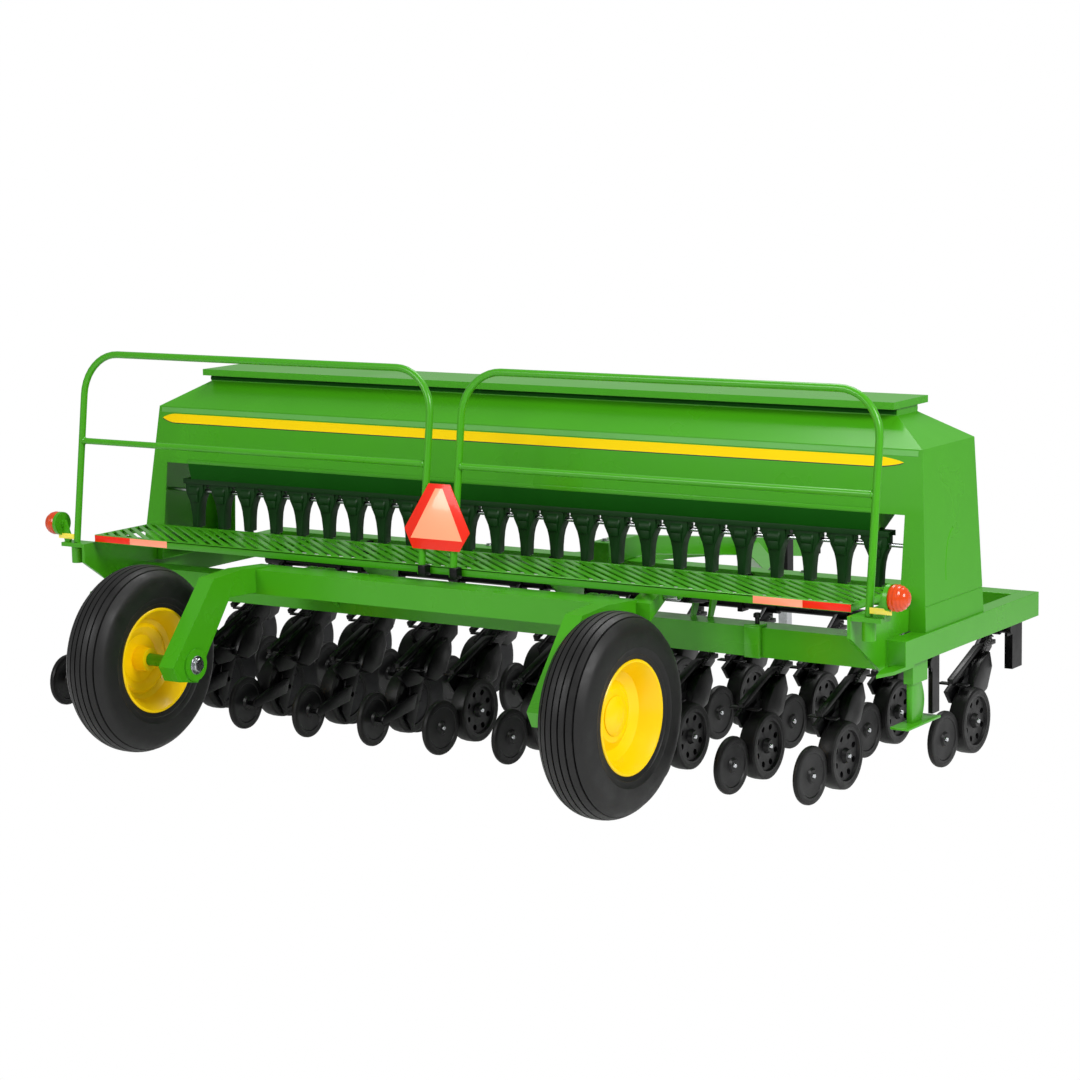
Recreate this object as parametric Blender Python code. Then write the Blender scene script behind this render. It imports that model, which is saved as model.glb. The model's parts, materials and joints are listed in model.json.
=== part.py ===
"""Pull-type box grain drill with two ranks of disc openers, at full size.

Metres. X runs across the machine (+X is its right side), +Y is the direction of travel, +Z is up.
The origin is on the ground under the middle of the machine. Each function below makes one sub-part,
or one row of equal sub-parts, and every moving piece has its origin on its joint's axis.
"""
import math

import bmesh
import bpy
from mathutils import Matrix, Vector

# ---- Clearances -------------------------------------------------------------------------------
SEAT = 0.0003            # gap left between two faces that touch
TURN = 0.0008            # radial gap of a pin or shaft in a bore
SLIDE = 0.0007           # gap around a sliding leg

# ---- Ring frame -------------------------------------------------------------------------------
RAIL_OUTER_X = 2.530     # outer face of each side rail
RAIL_WIDTH = 0.095
RAIL_HEIGHT = 0.127
FRAME_TOP_Z = 0.781
FRAME_REAR_Y = -1.154
FRAME_LENGTH = 1.563
REAR_TUBE_DEPTH = 0.150
REAR_TUBE_HEIGHT = 0.150
FRONT_TUBE_DEPTH = 0.127
TUBE_WALL = 0.008
RAIL_TAB_WIDTH = 0.075   # pointed tab under the rear end of each rail
RAIL_TAB_REACH = 0.240
RAIL_TAB_FRONT_Y = -1.060
RAIL_TAB_THICKNESS = 0.014

# ---- Tongue, clevis and jack ------------------------------------------------------------------
TONGUE_WIDTH = 0.120
TONGUE_DEPTH = 0.125
TONGUE_SADDLE_LENGTH = 0.310
TONGUE_TIP_Y = 2.496
TONGUE_TIP_Z = 0.590     # top of the tongue at its front end
BRACE_FOOT_X = 1.050
BRACE_WIDTH = 0.110
BRACE_HEIGHT = 0.070
BRACE_MEET_Y = 1.600
BRACE_DROP = 0.030       # top of each brace below the tongue's top where they meet
CLEVIS_LENGTH = 0.132
CLEVIS_HEIGHT = 0.110
CLEVIS_JAW = 0.050
CLEVIS_PIN_RADIUS = 0.016
JACK_Y = 2.080
JACK_TUBE = 0.080
JACK_WALL = 0.008
JACK_TUBE_BOTTOM_Z = 0.290
JACK_TUBE_HEIGHT = 0.520
JACK_LEG_WALL = 0.006
JACK_FOOT_SIZE = 0.240
JACK_FOOT_THICKNESS = 0.014
JACK_LEG_OVERLAP = 0.400

# ---- Parking stands ---------------------------------------------------------------------------
STAND_Y = -0.950
STAND_LEG_DEPTH = 0.140
STAND_LEG_WIDTH = 0.030
STAND_FOOT_Z = 0.335
STAND_FOOT_LENGTH = 0.360
STAND_FOOT_WIDTH = 0.100
STAND_FOOT_THICKNESS = 0.014
STAND_SLEEVE_DROP = 0.110
STAND_SLEEVE_WALL = 0.010

# ---- Hopper -----------------------------------------------------------------------------------
BODY_HALF_LENGTH = 2.207     # hopper shell and neck, between the end casings
RIDGE_HALF_LENGTH = 2.440
CASING_FOOT_SETBACK = 0.0145   # casing foot inside the rail's outer face
CASING_LEG_WIDTH = 0.150
HOPPER_REAR_Y = -0.906       # at the foot of the casings
HOPPER_DEPTH = 0.664
HOPPER_REAR_LEAN = 0.115     # how far the rear face leans forward from foot to ridge
HOPPER_FRONT_LEAN = 0.044
RIDGE_Z = 1.663
WALL_FOOT_Z = 1.342
OUTLET_Z = 1.250
FRONT_SLOPE_Z = 1.520
ROOF_Z = 1.799
NECK_REAR_Y = -0.598
NECK_DEPTH = 0.230
SHEET = 0.006

# ---- Lid --------------------------------------------------------------------------------------
LID_TOP_Z = 1.872
LID_HEIGHT = 0.036
LID_REAR_Y = -0.657
LID_DEPTH = 0.383
LID_OVERHANG = 0.012
HINGE_ROD_RADIUS = 0.007
HINGE_KNUCKLE_WALL = 0.007
HINGE_LUG_WIDTH = 0.050
HINGE_KNUCKLE_WIDTH = 0.030
HINGE_STANDOFF = 0.012       # knuckle clear of the lid's front wall
HINGE_SPACING = 1.600

# ---- Seed meters ------------------------------------------------------------------------------
CUP_COUNT = 24
CUP_PITCH = 0.1905
CUP_Y = -0.772
CUP_TOP_WIDTH = 0.132
CUP_FOOT_WIDTH = 0.045
CUP_TOP_DEPTH = 0.092
CUP_FOOT_DEPTH = 0.060
CUP_HEIGHT = 0.285
CUP_RAIL_DEPTH = 0.080
CUP_RAIL_HEIGHT = 0.028
METER_SHAFT_RADIUS = 0.011
METER_SHAFT_SIDES = 12
METER_SHAFT_DROP = 0.072     # below the hopper's outlets
METER_SHAFT_HALF_LENGTH = 2.420

# ---- Walkboard and handrails ------------------------------------------------------------------
WALKBOARD_HALF_LENGTH = 2.390
WALKBOARD_REAR_Y = -1.446
WALKBOARD_DEPTH = 0.480
WALKBOARD_TOP_Z = 1.001
WALKBOARD_SHEET = 0.010
WALKBOARD_FLANGE = 0.042
WALKBOARD_STRUT_X = 0.600
WALKBOARD_STRUT_WIDTH = 0.014
POST_RADIUS = 0.0205
POST_SIDES = 8
POST_OUTER_X = 2.497
POST_INNER_X = 0.100
POST_FOOT_Y = -1.475
POST_LEAN = math.radians(7.7)
POST_TOP_Z = 2.032
MID_BAR_Z = 1.524
MID_BAR_RADIUS = 0.0185
HOOP_RADIUS = 0.230
POST_CLIP_WIDTH = 0.050

# ---- End brackets, lamps and sign -------------------------------------------------------------
BRACKET_INNER_X = 2.405
BRACKET_GUSSET_WIDTH = 0.018
BRACKET_OUTER_X = 2.580
BRACKET_REAR_Y = -1.520
BRACKET_SHELF = 0.022
BRACKET_TOP_Z = 0.889        # where the gusset ends against the casing's leg
BRACKET_CASING_GAP = 0.008
SOCKET_RADIUS = 0.034
SOCKET_DEPTH = 0.115
BRACKET_DROP = 0.107
LAMP_X = 2.645
LAMP_Y = -1.476
LAMP_Z = 1.055
LAMP_RADIUS = 0.066
LAMP_BASE_RADIUS = 0.060
LAMP_BASE_THICKNESS = 0.020
LAMP_ARM_THICKNESS = 0.016
LAMP_ARM_HEIGHT = 0.050
SIGN_WIDTH = 0.415
SIGN_HEIGHT = 0.342
SIGN_TIP_WIDTH = 0.137
SIGN_CORNER_HEIGHT = 0.100   # the lower corners are cut off from here down
SIGN_FOOT_WIDTH = 0.296
SIGN_THICKNESS = 0.004
SIGN_FOOT_Z = 1.091

# ---- Lift and transport wheels ----------------------------------------------------------------
LIFT_PIVOT_Y = -1.286
LIFT_PIVOT_Z = 0.860
LIFT_SHAFT_RADIUS = 0.022
LIFT_EAR_RADIUS = 0.045
LIFT_EAR_X = 0.900
LIFT_EAR_WIDTH = 0.030
LIFT_EAR_SPREAD = 0.060
BEAM_REAR_Y = -1.606
BEAM_DEPTH = 0.175
BEAM_HEIGHT = 0.130
BEAM_TOP_Z = 0.922
ARM_INNER_X = 1.100
ARM_WIDTH = 0.100
AXLE_Y = -2.130
TYRE_RADIUS = 0.498
TYRE_WIDTH = 0.270
WHEEL_X = 1.468
RIM_RADIUS = 0.273
RIM_DISC = 0.020
HUB_RADIUS = 0.070
AXLE_BOSS_RADIUS = 0.085
SPINDLE_RADIUS = 0.032
WHEEL_SIDES = 40

# ---- Lift cylinder ----------------------------------------------------------------------------
CYLINDER_X = 1.325
CYLINDER_PIN_RADIUS = 0.014
ROD_PIN_Y = -1.316
ROD_PIN_Z = 0.935
BARREL_PIN_Y = -0.990
BARREL_PIN_Z = 0.880
BARREL_RADIUS = 0.035
BARREL_LENGTH = 0.200
ROD_RADIUS = 0.014
EYE_RADIUS = 0.028
EYE_WIDTH = 0.078
OPEN_PIVOT_GAP = 0.003

# ---- Openers ----------------------------------------------------------------------------------
RANK_COUNT = 12
OPENER_PITCH = 0.436
REAR_RANK_FIRST_X = -2.615
RANK_OFFSET_Y = 1.010        # front rank ahead of the rear rank
REAR_PIVOT_Y = -0.816
PIVOT_Z = 0.615
OPENER_SHAFT_RADIUS = 0.028
OPENER_BOSS_WALL = 0.010
OPENER_BOSS_WIDTH = 0.090
OPENER_ARM_WIDTH = 0.034
GROUND_GAP = 0.006
CLOSING_RADIUS = 0.145
CLOSING_WIDTH = 0.030
CLOSING_BACK = 0.660         # closing wheel axle behind the opener's pivot
CLOSING_TOE = math.radians(3.0)
GAUGE_RADIUS = 0.1710
GAUGE_WIDTH = 0.090
GAUGE_BACK = 0.350
DISC_RADIUS = 0.200
DISC_THICKNESS = 0.008
OPENER_WHEEL_SIDES = 12
OPENER_SHAFT_SIDES = 16
DISC_BACK = 0.290
SHAFT_BRACKET_WIDTH = 0.030
HANGER_REACH = 0.021         # front hanger starts this far inside the rail's inner face
HANGER_WIDTH = 0.045
HANGER_DEPTH = 0.120
HANGER_BOTTOM_Z = 0.390
HANGER_GAP = 0.005           # hanger clear of the nearest opener's boss
REAR_HANGER_SETBACK = 0.018  # rear hanger inside the rail's outer face
REAR_HANGER_WIDTH = 0.024
REAR_HANGER_LAP = 0.006      # and behind its middle
REAR_HANGER_REACH = 0.071    # ahead of the rear rank's shaft
REAR_HANGER_BOTTOM_Z = 0.362

# ---- Derived places ---------------------------------------------------------------------------
RAIL_INNER_X = RAIL_OUTER_X - RAIL_WIDTH
RAIL_BOTTOM_Z = FRAME_TOP_Z - RAIL_HEIGHT
FRAME_FRONT_Y = FRAME_REAR_Y + FRAME_LENGTH
REAR_TUBE_FRONT_Y = FRAME_REAR_Y + REAR_TUBE_DEPTH
FRONT_TUBE_REAR_Y = FRAME_FRONT_Y - FRONT_TUBE_DEPTH
HOPPER_FRONT_Y = HOPPER_REAR_Y + HOPPER_DEPTH
NECK_FRONT_Y = NECK_REAR_Y + NECK_DEPTH
CASING_FOOT_Z = FRAME_TOP_Z + SEAT
CASING_FOOT_HALF_LENGTH = RAIL_OUTER_X - CASING_FOOT_SETBACK
HANGER_INNER_X = RAIL_INNER_X - HANGER_REACH
REAR_HANGER_INNER_X = RAIL_OUTER_X - REAR_HANGER_SETBACK - REAR_HANGER_WIDTH
METER_SHAFT_Z = OUTLET_Z - METER_SHAFT_DROP
LIFT_AXLE_Z = TYRE_RADIUS
FRONT_PIVOT_Y = REAR_PIVOT_Y + RANK_OFFSET_Y
FRONT_RANK_FIRST_X = REAR_RANK_FIRST_X + OPENER_PITCH / 2
JACK_X = TONGUE_WIDTH / 2 + SEAT + JACK_TUBE / 2
HINGE_Y = LID_REAR_Y + LID_DEPTH + HINGE_ROD_RADIUS + HINGE_KNUCKLE_WALL + HINGE_STANDOFF
HINGE_Z = LID_TOP_Z - LID_HEIGHT

GREEN = (0.020, 0.260, 0.012, 1.0)
YELLOW = (0.900, 0.520, 0.010, 1.0)
BLACK = (0.012, 0.012, 0.013, 1.0)
RUBBER = (0.016, 0.016, 0.017, 1.0)
STEEL = (0.420, 0.420, 0.430, 1.0)
AMBER = (0.900, 0.160, 0.020, 1.0)
SIGNAL = (0.900, 0.250, 0.120, 1.0)


# ---- Modelling helpers ------------------------------------------------------------------------
def material(name, colour, roughness, metallic=0.0):
    """Return a Principled material, made once per name."""
    found = bpy.data.materials.get(name)
    if found:
        return found
    made = bpy.data.materials.new(name)
    made.use_nodes = True
    shader = made.node_tree.nodes["Principled BSDF"]
    shader.inputs["Base Color"].default_value = colour
    shader.inputs["Roughness"].default_value = roughness
    shader.inputs["Metallic"].default_value = metallic
    return made


def to_object(name, bm):
    """Turn a bmesh into an object at the origin."""
    bmesh.ops.recalc_face_normals(bm, faces=bm.faces)
    mesh = bpy.data.meshes.new(name)
    bm.to_mesh(mesh)
    bm.free()
    made = bpy.data.objects.new(name, mesh)
    bpy.context.scene.collection.objects.link(made)
    return made


def prism(outline, axis, low, high):
    """Extrude a closed outline along one axis. The outline's two numbers are the other two axes."""
    bm = bmesh.new()
    order = {"x": (2, 0, 1), "y": (0, 2, 1), "z": (0, 1, 2)}[axis]
    base = [bm.verts.new([(pair[0], pair[1], low)[index] for index in order]) for pair in outline]
    face = bm.faces.new(base)
    moved = bmesh.ops.extrude_face_region(bm, geom=[face])
    shift = {"x": (high - low, 0, 0), "y": (0, high - low, 0), "z": (0, 0, high - low)}[axis]
    verts = [item for item in moved["geom"] if isinstance(item, bmesh.types.BMVert)]
    bmesh.ops.translate(bm, vec=shift, verts=verts)
    return to_object("prism", bm)


def box(low, high):
    """A box between two corners."""
    outline = [(low[0], low[1]), (high[0], low[1]), (high[0], high[1]), (low[0], high[1])]
    return prism(outline, "z", low[2], high[2])


def hull(points):
    """The convex solid around some points."""
    bm = bmesh.new()
    for point in points:
        bm.verts.new(point)
    bmesh.ops.convex_hull(bm, input=bm.verts)
    bmesh.ops.delete(bm, geom=[vert for vert in bm.verts if not vert.link_faces], context="VERTS")
    bmesh.ops.dissolve_limit(bm, angle_limit=math.radians(0.2), verts=bm.verts, edges=bm.edges)
    return to_object("hull", bm)


def rod(start, end, radius, sides=16, end_radius=None):
    """A cylinder or cone between two points, closed at both ends."""
    start, end = Vector(start), Vector(end)
    bm = bmesh.new()
    far = radius if end_radius is None else end_radius
    bmesh.ops.create_cone(bm, cap_ends=True, segments=sides, radius1=radius, radius2=far,
                          depth=(end - start).length)
    turn = (end - start).to_track_quat("Z", "Y").to_matrix().to_4x4()
    bmesh.ops.transform(bm, matrix=Matrix.Translation((start + end) / 2) @ turn, verts=bm.verts)
    return to_object("rod", bm)


def turned(profile, centre, sides):
    """Spin a closed (x, radius) outline about an axis along X through the centre."""
    bm = bmesh.new()
    rings = []
    for step in range(sides):
        angle = 2 * math.pi * step / sides
        rings.append([bm.verts.new((centre[0] + x, centre[1] + r * math.cos(angle),
                                    centre[2] + r * math.sin(angle)))
                      for x, r in profile])
    count = len(profile)
    for step in range(sides):
        ring, following = rings[step], rings[(step + 1) % sides]
        for index in range(count):
            other = (index + 1) % count
            bm.faces.new((ring[index], ring[other], following[other], following[index]))
    return to_object("turned", bm)


def tube(points, radius, sides):
    """Sweep a round section along a path, with flat ends."""
    path = [Vector(point) for point in points]
    bm = bmesh.new()
    rings = []
    across = None
    for index, place in enumerate(path):
        ahead = path[min(index + 1, len(path) - 1)] - path[max(index - 1, 0)]
        ahead.normalize()
        if across is None:
            across = ahead.orthogonal().normalized()
        across = (across - ahead * across.dot(ahead)).normalized()
        third = ahead.cross(across)
        rings.append([bm.verts.new(place + radius * (math.cos(a) * across + math.sin(a) * third))
                      for a in (2 * math.pi * (k + 0.5) / sides for k in range(sides))])
    for ring, following in zip(rings, rings[1:]):
        for k in range(sides):
            bm.faces.new((ring[k], ring[(k + 1) % sides], following[(k + 1) % sides], following[k]))
    bm.faces.new(rings[0])
    bm.faces.new(rings[-1])
    return to_object("tube", bm)


def combine(base, others, operation):
    """Apply one Boolean per other object, then remove the others."""
    for other in others:
        modifier = base.modifiers.new("combine", "BOOLEAN")
        modifier.operation = operation
        modifier.solver = "EXACT"
        modifier.object = other
        evaluated = base.evaluated_get(bpy.context.evaluated_depsgraph_get())
        mesh = bpy.data.meshes.new_from_object(evaluated)
        base.modifiers.clear()
        base.data = mesh
        bpy.data.objects.remove(other)
    return base


def join(base, *others):
    return combine(base, others, "UNION")


def cut(base, *cutters):
    return combine(base, cutters, "DIFFERENCE")


def finish(made, name, finish_material, origin=(0, 0, 0)):
    """Name a piece, give it its material, and put its origin on its joint's axis or reference point."""
    made.name = name
    made.data.name = name
    made.data.materials.clear()
    made.data.materials.append(finish_material)
    made.data.transform(Matrix.Translation(-Vector(origin)))
    made.location = origin
    return made


def both_sides(build):
    """Run a builder for the left (-1) and right (+1) sides."""
    for side, word in ((-1, "left"), (1, "right")):
        build(side, word)


def hollow_bar(low, high, axis, wall):
    """A square tube between two corners, open at both ends along the axis."""
    inner_low = [value if index == axis else value + wall for index, value in enumerate(low)]
    inner_high = [value if index == axis else value - wall for index, value in enumerate(high)]
    inner_low[axis] -= wall
    inner_high[axis] += wall
    return cut(box(low, high), box(inner_low, inner_high))


def lug(roots, centre, radius, low, high, bore=0.0, sides=12):
    """A plate from x low to x high, from its root points round a pin's (y, z) centre, with a bore."""
    ring = [(centre[0] + radius * math.cos(angle), centre[1] + radius * math.sin(angle))
            for angle in (2 * math.pi * step / sides for step in range(sides))]
    low, high = sorted((low, high))
    plate = hull([(x, y, z) for x in (low, high) for y, z in list(roots) + ring])
    if bore:
        over = (high - low) * 0.5
        cut(plate, rod((low - over, centre[0], centre[1]), (high + over, centre[0], centre[1]), bore,
                       sides))
    return plate


def lerp(a, b, share):
    return a + (b - a) * share


def inset(outline, distance):
    """Move each side of a closed, counter-clockwise outline inwards by a distance."""
    count = len(outline)
    result = []
    for index in range(count):
        before = Vector(outline[index - 1])
        here = Vector(outline[index])
        after = Vector(outline[(index + 1) % count])
        first = (here - before).normalized()
        second = (after - here).normalized()
        normal_a = Vector((-first.y, first.x))
        normal_b = Vector((-second.y, second.x))
        corner = (normal_a + normal_b) / (1 + normal_a.dot(normal_b))
        result.append(tuple(here + corner * distance))
    return result


# ---- Frame ------------------------------------------------------------------------------------
def make_side_rail(side, word):
    """Side rail with the sleeve that its parking stand slides in."""
    inner, outer = sorted((side * RAIL_INNER_X, side * RAIL_OUTER_X))
    rail = hollow_bar((inner, FRAME_REAR_Y, RAIL_BOTTOM_Z), (outer, FRAME_FRONT_Y, FRAME_TOP_Z), 1,
                      TUBE_WALL)
    middle = (inner + outer) / 2
    half_x = STAND_LEG_WIDTH / 2 + SLIDE
    half_y = STAND_LEG_DEPTH / 2 + SLIDE
    top = FRAME_TOP_Z - TUBE_WALL / 2
    sleeve = box((middle - half_x - STAND_SLEEVE_WALL, STAND_Y - half_y - STAND_SLEEVE_WALL,
                  RAIL_BOTTOM_Z - STAND_SLEEVE_DROP),
                 (middle + half_x + STAND_SLEEVE_WALL, STAND_Y + half_y + STAND_SLEEVE_WALL, top))
    join(rail, sleeve)
    join(rail, box((inner, FRAME_REAR_Y, RAIL_BOTTOM_Z), (outer, FRAME_REAR_Y + TUBE_WALL, FRAME_TOP_Z)))
    tab_middle = middle + side * (RAIL_WIDTH - RAIL_TAB_WIDTH) / 2
    low, high = tab_middle - RAIL_TAB_WIDTH / 2, tab_middle + RAIL_TAB_WIDTH / 2
    waist, point = FRAME_REAR_Y - RAIL_TAB_REACH / 2, FRAME_REAR_Y - RAIL_TAB_REACH
    tab = prism([(low, RAIL_TAB_FRONT_Y), (high, RAIL_TAB_FRONT_Y), (high, waist), (tab_middle, point),
                 (low, waist)], "z", RAIL_BOTTOM_Z - RAIL_TAB_THICKNESS, RAIL_BOTTOM_Z + TUBE_WALL / 2)
    join(rail, tab)
    cut(rail, box((middle - half_x, STAND_Y - half_y, RAIL_BOTTOM_Z - 2 * STAND_SLEEVE_DROP),
                  (middle + half_x, STAND_Y + half_y, top - TUBE_WALL)))
    finish(rail, "side_rail_" + word, material("green_paint", GREEN, 0.35))


def make_frame_tubes():
    """Rear and front cross tubes. The rear one carries the ears of the lift and of its cylinder."""
    reach = RAIL_INNER_X - SEAT
    rear_bottom = FRAME_TOP_Z - REAR_TUBE_HEIGHT
    rear = hollow_bar((-reach, FRAME_REAR_Y, rear_bottom), (reach, REAR_TUBE_FRONT_Y, FRAME_TOP_Z), 0,
                      TUBE_WALL)
    root = FRAME_REAR_Y + TUBE_WALL / 2
    for side in (-1, 1):
        middle = side * LIFT_EAR_X
        half = LIFT_EAR_WIDTH / 2
        join(rear, lug([(root, FRAME_TOP_Z - 0.02), (root, rear_bottom + 0.03)],
                       (LIFT_PIVOT_Y, LIFT_PIVOT_Z),
                       LIFT_EAR_RADIUS, middle - half, middle + half, LIFT_SHAFT_RADIUS + SEAT, 16))
    root = FRAME_TOP_Z - TUBE_WALL / 2
    for side in (-1, 1):
        near = CYLINDER_X + side * (EYE_WIDTH / 2 + 0.004)
        join(rear, lug([(BARREL_PIN_Y - 0.060, root), (REAR_TUBE_FRONT_Y - TUBE_WALL, root)],
                       (BARREL_PIN_Y, BARREL_PIN_Z), EYE_RADIUS, near, near + side * 0.014))
    join(rear, rod((CYLINDER_X - EYE_WIDTH / 2 - 0.014, BARREL_PIN_Y, BARREL_PIN_Z),
                   (CYLINDER_X + EYE_WIDTH / 2 + 0.014, BARREL_PIN_Y,
                    BARREL_PIN_Z), CYLINDER_PIN_RADIUS, 12))
    finish(rear, "frame_rear_tube", material("green_paint", GREEN, 0.35))
    front = hollow_bar((-reach, FRONT_TUBE_REAR_Y, RAIL_BOTTOM_Z), (reach, FRAME_FRONT_Y, FRAME_TOP_Z), 0,
                       TUBE_WALL)
    finish(front, "frame_front_tube", material("green_paint", GREEN, 0.35))


def tongue_line():
    """Heights of the tongue's top and bottom along its sloping length, as functions of Y."""
    start_y = FRAME_FRONT_Y
    top = FRAME_TOP_Z + SEAT + TONGUE_DEPTH
    slope = (TONGUE_TIP_Z - top) / (TONGUE_TIP_Y - start_y)
    return lambda y: top + slope * (y - start_y)


def make_tongue():
    """Central tongue beam saddled on the front tube, its two braces and the clevis at its tip."""
    top_at = tongue_line()
    seat_z = FRAME_TOP_Z + SEAT
    saddle_y = FRAME_FRONT_Y - TONGUE_SADDLE_LENGTH
    half = TONGUE_WIDTH / 2
    knee_y = FRAME_FRONT_Y + 0.12
    tip_bottom = TONGUE_TIP_Z - CLEVIS_HEIGHT
    beam = prism([(saddle_y, seat_z), (knee_y, seat_z), (TONGUE_TIP_Y, tip_bottom),
                  (TONGUE_TIP_Y, TONGUE_TIP_Z),
                  (FRAME_FRONT_Y, top_at(FRAME_FRONT_Y)),
                  (saddle_y, top_at(FRAME_FRONT_Y))], "x", -half, half)
    finish(beam, "tongue_beam", material("green_paint", GREEN, 0.35))
    meet_top = top_at(BRACE_MEET_Y + BRACE_WIDTH)
    level = meet_top - BRACE_HEIGHT / 2 - BRACE_DROP
    for side, word in ((-1, "left"), (1, "right")):
        run = BRACE_WIDTH * 1.9
        outline = [(side * (BRACE_FOOT_X - BRACE_WIDTH / 2), FRAME_FRONT_Y + SEAT),
                   (side * (BRACE_FOOT_X + BRACE_WIDTH / 2), FRAME_FRONT_Y + SEAT),
                   (side * (half + SEAT), BRACE_MEET_Y + run),
                   (side * (half + SEAT), BRACE_MEET_Y)]
        brace = prism(outline, "z", level - BRACE_HEIGHT / 2, level + BRACE_HEIGHT / 2)
        finish(brace, "tongue_brace_" + word, material("green_paint", GREEN, 0.35))
    rear = TONGUE_TIP_Y + SEAT
    front = TONGUE_TIP_Y + CLEVIS_LENGTH
    middle_z = TONGUE_TIP_Z - CLEVIS_HEIGHT / 2
    jaw_rear = rear + 0.04
    clevis = prism([(rear, tip_bottom), (front, tip_bottom), (front, middle_z - CLEVIS_JAW / 2),
                    (jaw_rear, middle_z - CLEVIS_JAW / 2), (jaw_rear, middle_z + CLEVIS_JAW / 2),
                    (front, middle_z + CLEVIS_JAW / 2), (front, TONGUE_TIP_Z), (rear, TONGUE_TIP_Z)],
                   "x", -half, half)
    pin_y = front - 0.045
    cut(clevis, rod((0, pin_y, tip_bottom - 0.05), (0, pin_y, TONGUE_TIP_Z + 0.05), CLEVIS_PIN_RADIUS))
    finish(clevis, "hitch_clevis", material("black_paint", BLACK, 0.45))


def make_jack():
    """Drop-leg jack bolted to the tongue's right side: outer tube and sliding leg with its foot."""
    half = JACK_TUBE / 2
    top = JACK_TUBE_BOTTOM_Z + JACK_TUBE_HEIGHT
    outer = hollow_bar((JACK_X - half, JACK_Y - half, JACK_TUBE_BOTTOM_Z),
                       (JACK_X + half, JACK_Y + half, top),
                       2, JACK_WALL)
    finish(outer, "jack_tube", material("black_paint", BLACK, 0.45))
    leg_half = half - JACK_WALL - SLIDE
    leg = hollow_bar((JACK_X - leg_half, JACK_Y - leg_half, JACK_FOOT_THICKNESS / 2),
                     (JACK_X + leg_half, JACK_Y + leg_half,
                      JACK_TUBE_BOTTOM_Z + JACK_LEG_OVERLAP), 2, JACK_LEG_WALL)
    foot = JACK_FOOT_SIZE / 2
    join(leg, box((JACK_X - foot, JACK_Y - foot, 0), (JACK_X + foot, JACK_Y + foot, JACK_FOOT_THICKNESS)))
    finish(leg, "jack_leg", material("zinc_steel", STEEL, 0.35, 0.9), (JACK_X, JACK_Y, 0))


def make_parking_stand(side, word):
    """T-foot stand that slides in its sleeve in the side rail."""
    middle = side * (RAIL_INNER_X + RAIL_OUTER_X) / 2
    top = FRAME_TOP_Z - TUBE_WALL / 2 - TUBE_WALL - SEAT
    half_x, half_y = STAND_LEG_WIDTH / 2, STAND_LEG_DEPTH / 2
    foot_top = STAND_FOOT_Z + STAND_FOOT_THICKNESS
    leg = box((middle - half_x, STAND_Y - half_y, STAND_FOOT_Z + STAND_FOOT_THICKNESS / 2),
              (middle + half_x, STAND_Y + half_y, top))
    foot = box((middle - STAND_FOOT_WIDTH / 2, STAND_Y - STAND_FOOT_LENGTH / 2, STAND_FOOT_Z),
               (middle + STAND_FOOT_WIDTH / 2, STAND_Y + STAND_FOOT_LENGTH / 2, foot_top))
    finish(join(leg, foot), "parking_stand_" + word, material("green_paint", GREEN, 0.35),
           (middle, STAND_Y, STAND_FOOT_Z))


# ---- Hopper -----------------------------------------------------------------------------------
def rear_face_y(z):
    """Y of the hopper's leaning rear face at a height."""
    return HOPPER_REAR_Y + HOPPER_REAR_LEAN * (z - FRAME_TOP_Z) / (RIDGE_Z - FRAME_TOP_Z)


def front_face_y(z):
    """Y of the hopper's leaning front face at a height."""
    return HOPPER_FRONT_Y + HOPPER_FRONT_LEAN * (z - FRAME_TOP_Z) / (RIDGE_Z - FRAME_TOP_Z)


def end_face_x(z):
    """X of an end casing's outer face at a height."""
    return lerp(CASING_FOOT_HALF_LENGTH, RIDGE_HALF_LENGTH, (z - FRAME_TOP_Z) / (RIDGE_Z - FRAME_TOP_Z))


def make_hopper():
    """Folded-sheet hopper with its open neck, a slot over each seed cup, and the lid's hinge rod."""
    half = BODY_HALF_LENGTH - SEAT
    neck_top = LID_TOP_Z - SHEET - SEAT
    outlet_half = CUP_RAIL_DEPTH / 2
    outline = [(rear_face_y(RIDGE_Z), RIDGE_Z), (rear_face_y(WALL_FOOT_Z), WALL_FOOT_Z),
               (CUP_Y - outlet_half, OUTLET_Z), (CUP_Y + outlet_half, OUTLET_Z),
               (front_face_y(FRONT_SLOPE_Z), FRONT_SLOPE_Z), (front_face_y(RIDGE_Z), RIDGE_Z),
               (NECK_FRONT_Y, ROOF_Z), (NECK_FRONT_Y, neck_top), (NECK_REAR_Y, neck_top),
               (NECK_REAR_Y, ROOF_Z)]
    hopper = prism(outline, "x", -half, half)
    inner = inset(outline, SHEET)
    raised = [(y, z + 2 * SHEET) if index in (7, 8) else (y, z) for index, (y, z) in enumerate(inner)]
    cut(hopper, prism(raised, "x", -half + SHEET, half - SHEET))
    for index in range(CUP_COUNT):
        middle = cup_x(index)
        cut(hopper, box((middle - 0.02, CUP_Y - 0.02, OUTLET_Z - SHEET),
                        (middle + 0.02, CUP_Y + 0.02, OUTLET_Z + 2 * SHEET)))
    roots = [(lerp(NECK_FRONT_Y, front_face_y(RIDGE_Z), share), lerp(ROOF_Z, RIDGE_Z, share) - SHEET / 2)
             for share in (0.42, 0.80)]
    for step in (-1, 0, 1):
        middle = step * HINGE_SPACING
        half = HINGE_LUG_WIDTH / 2
        join(hopper, lug(roots, (HINGE_Y, HINGE_Z), HINGE_ROD_RADIUS + HINGE_KNUCKLE_WALL, middle - half,
                         middle + half))
        stub = half + HINGE_KNUCKLE_WIDTH + 0.006
        join(hopper, rod((middle - stub, HINGE_Y, HINGE_Z), (middle + stub, HINGE_Y, HINGE_Z),
                         HINGE_ROD_RADIUS, 8))
    finish(hopper, "hopper_shell", material("green_paint", GREEN, 0.35))


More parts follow.
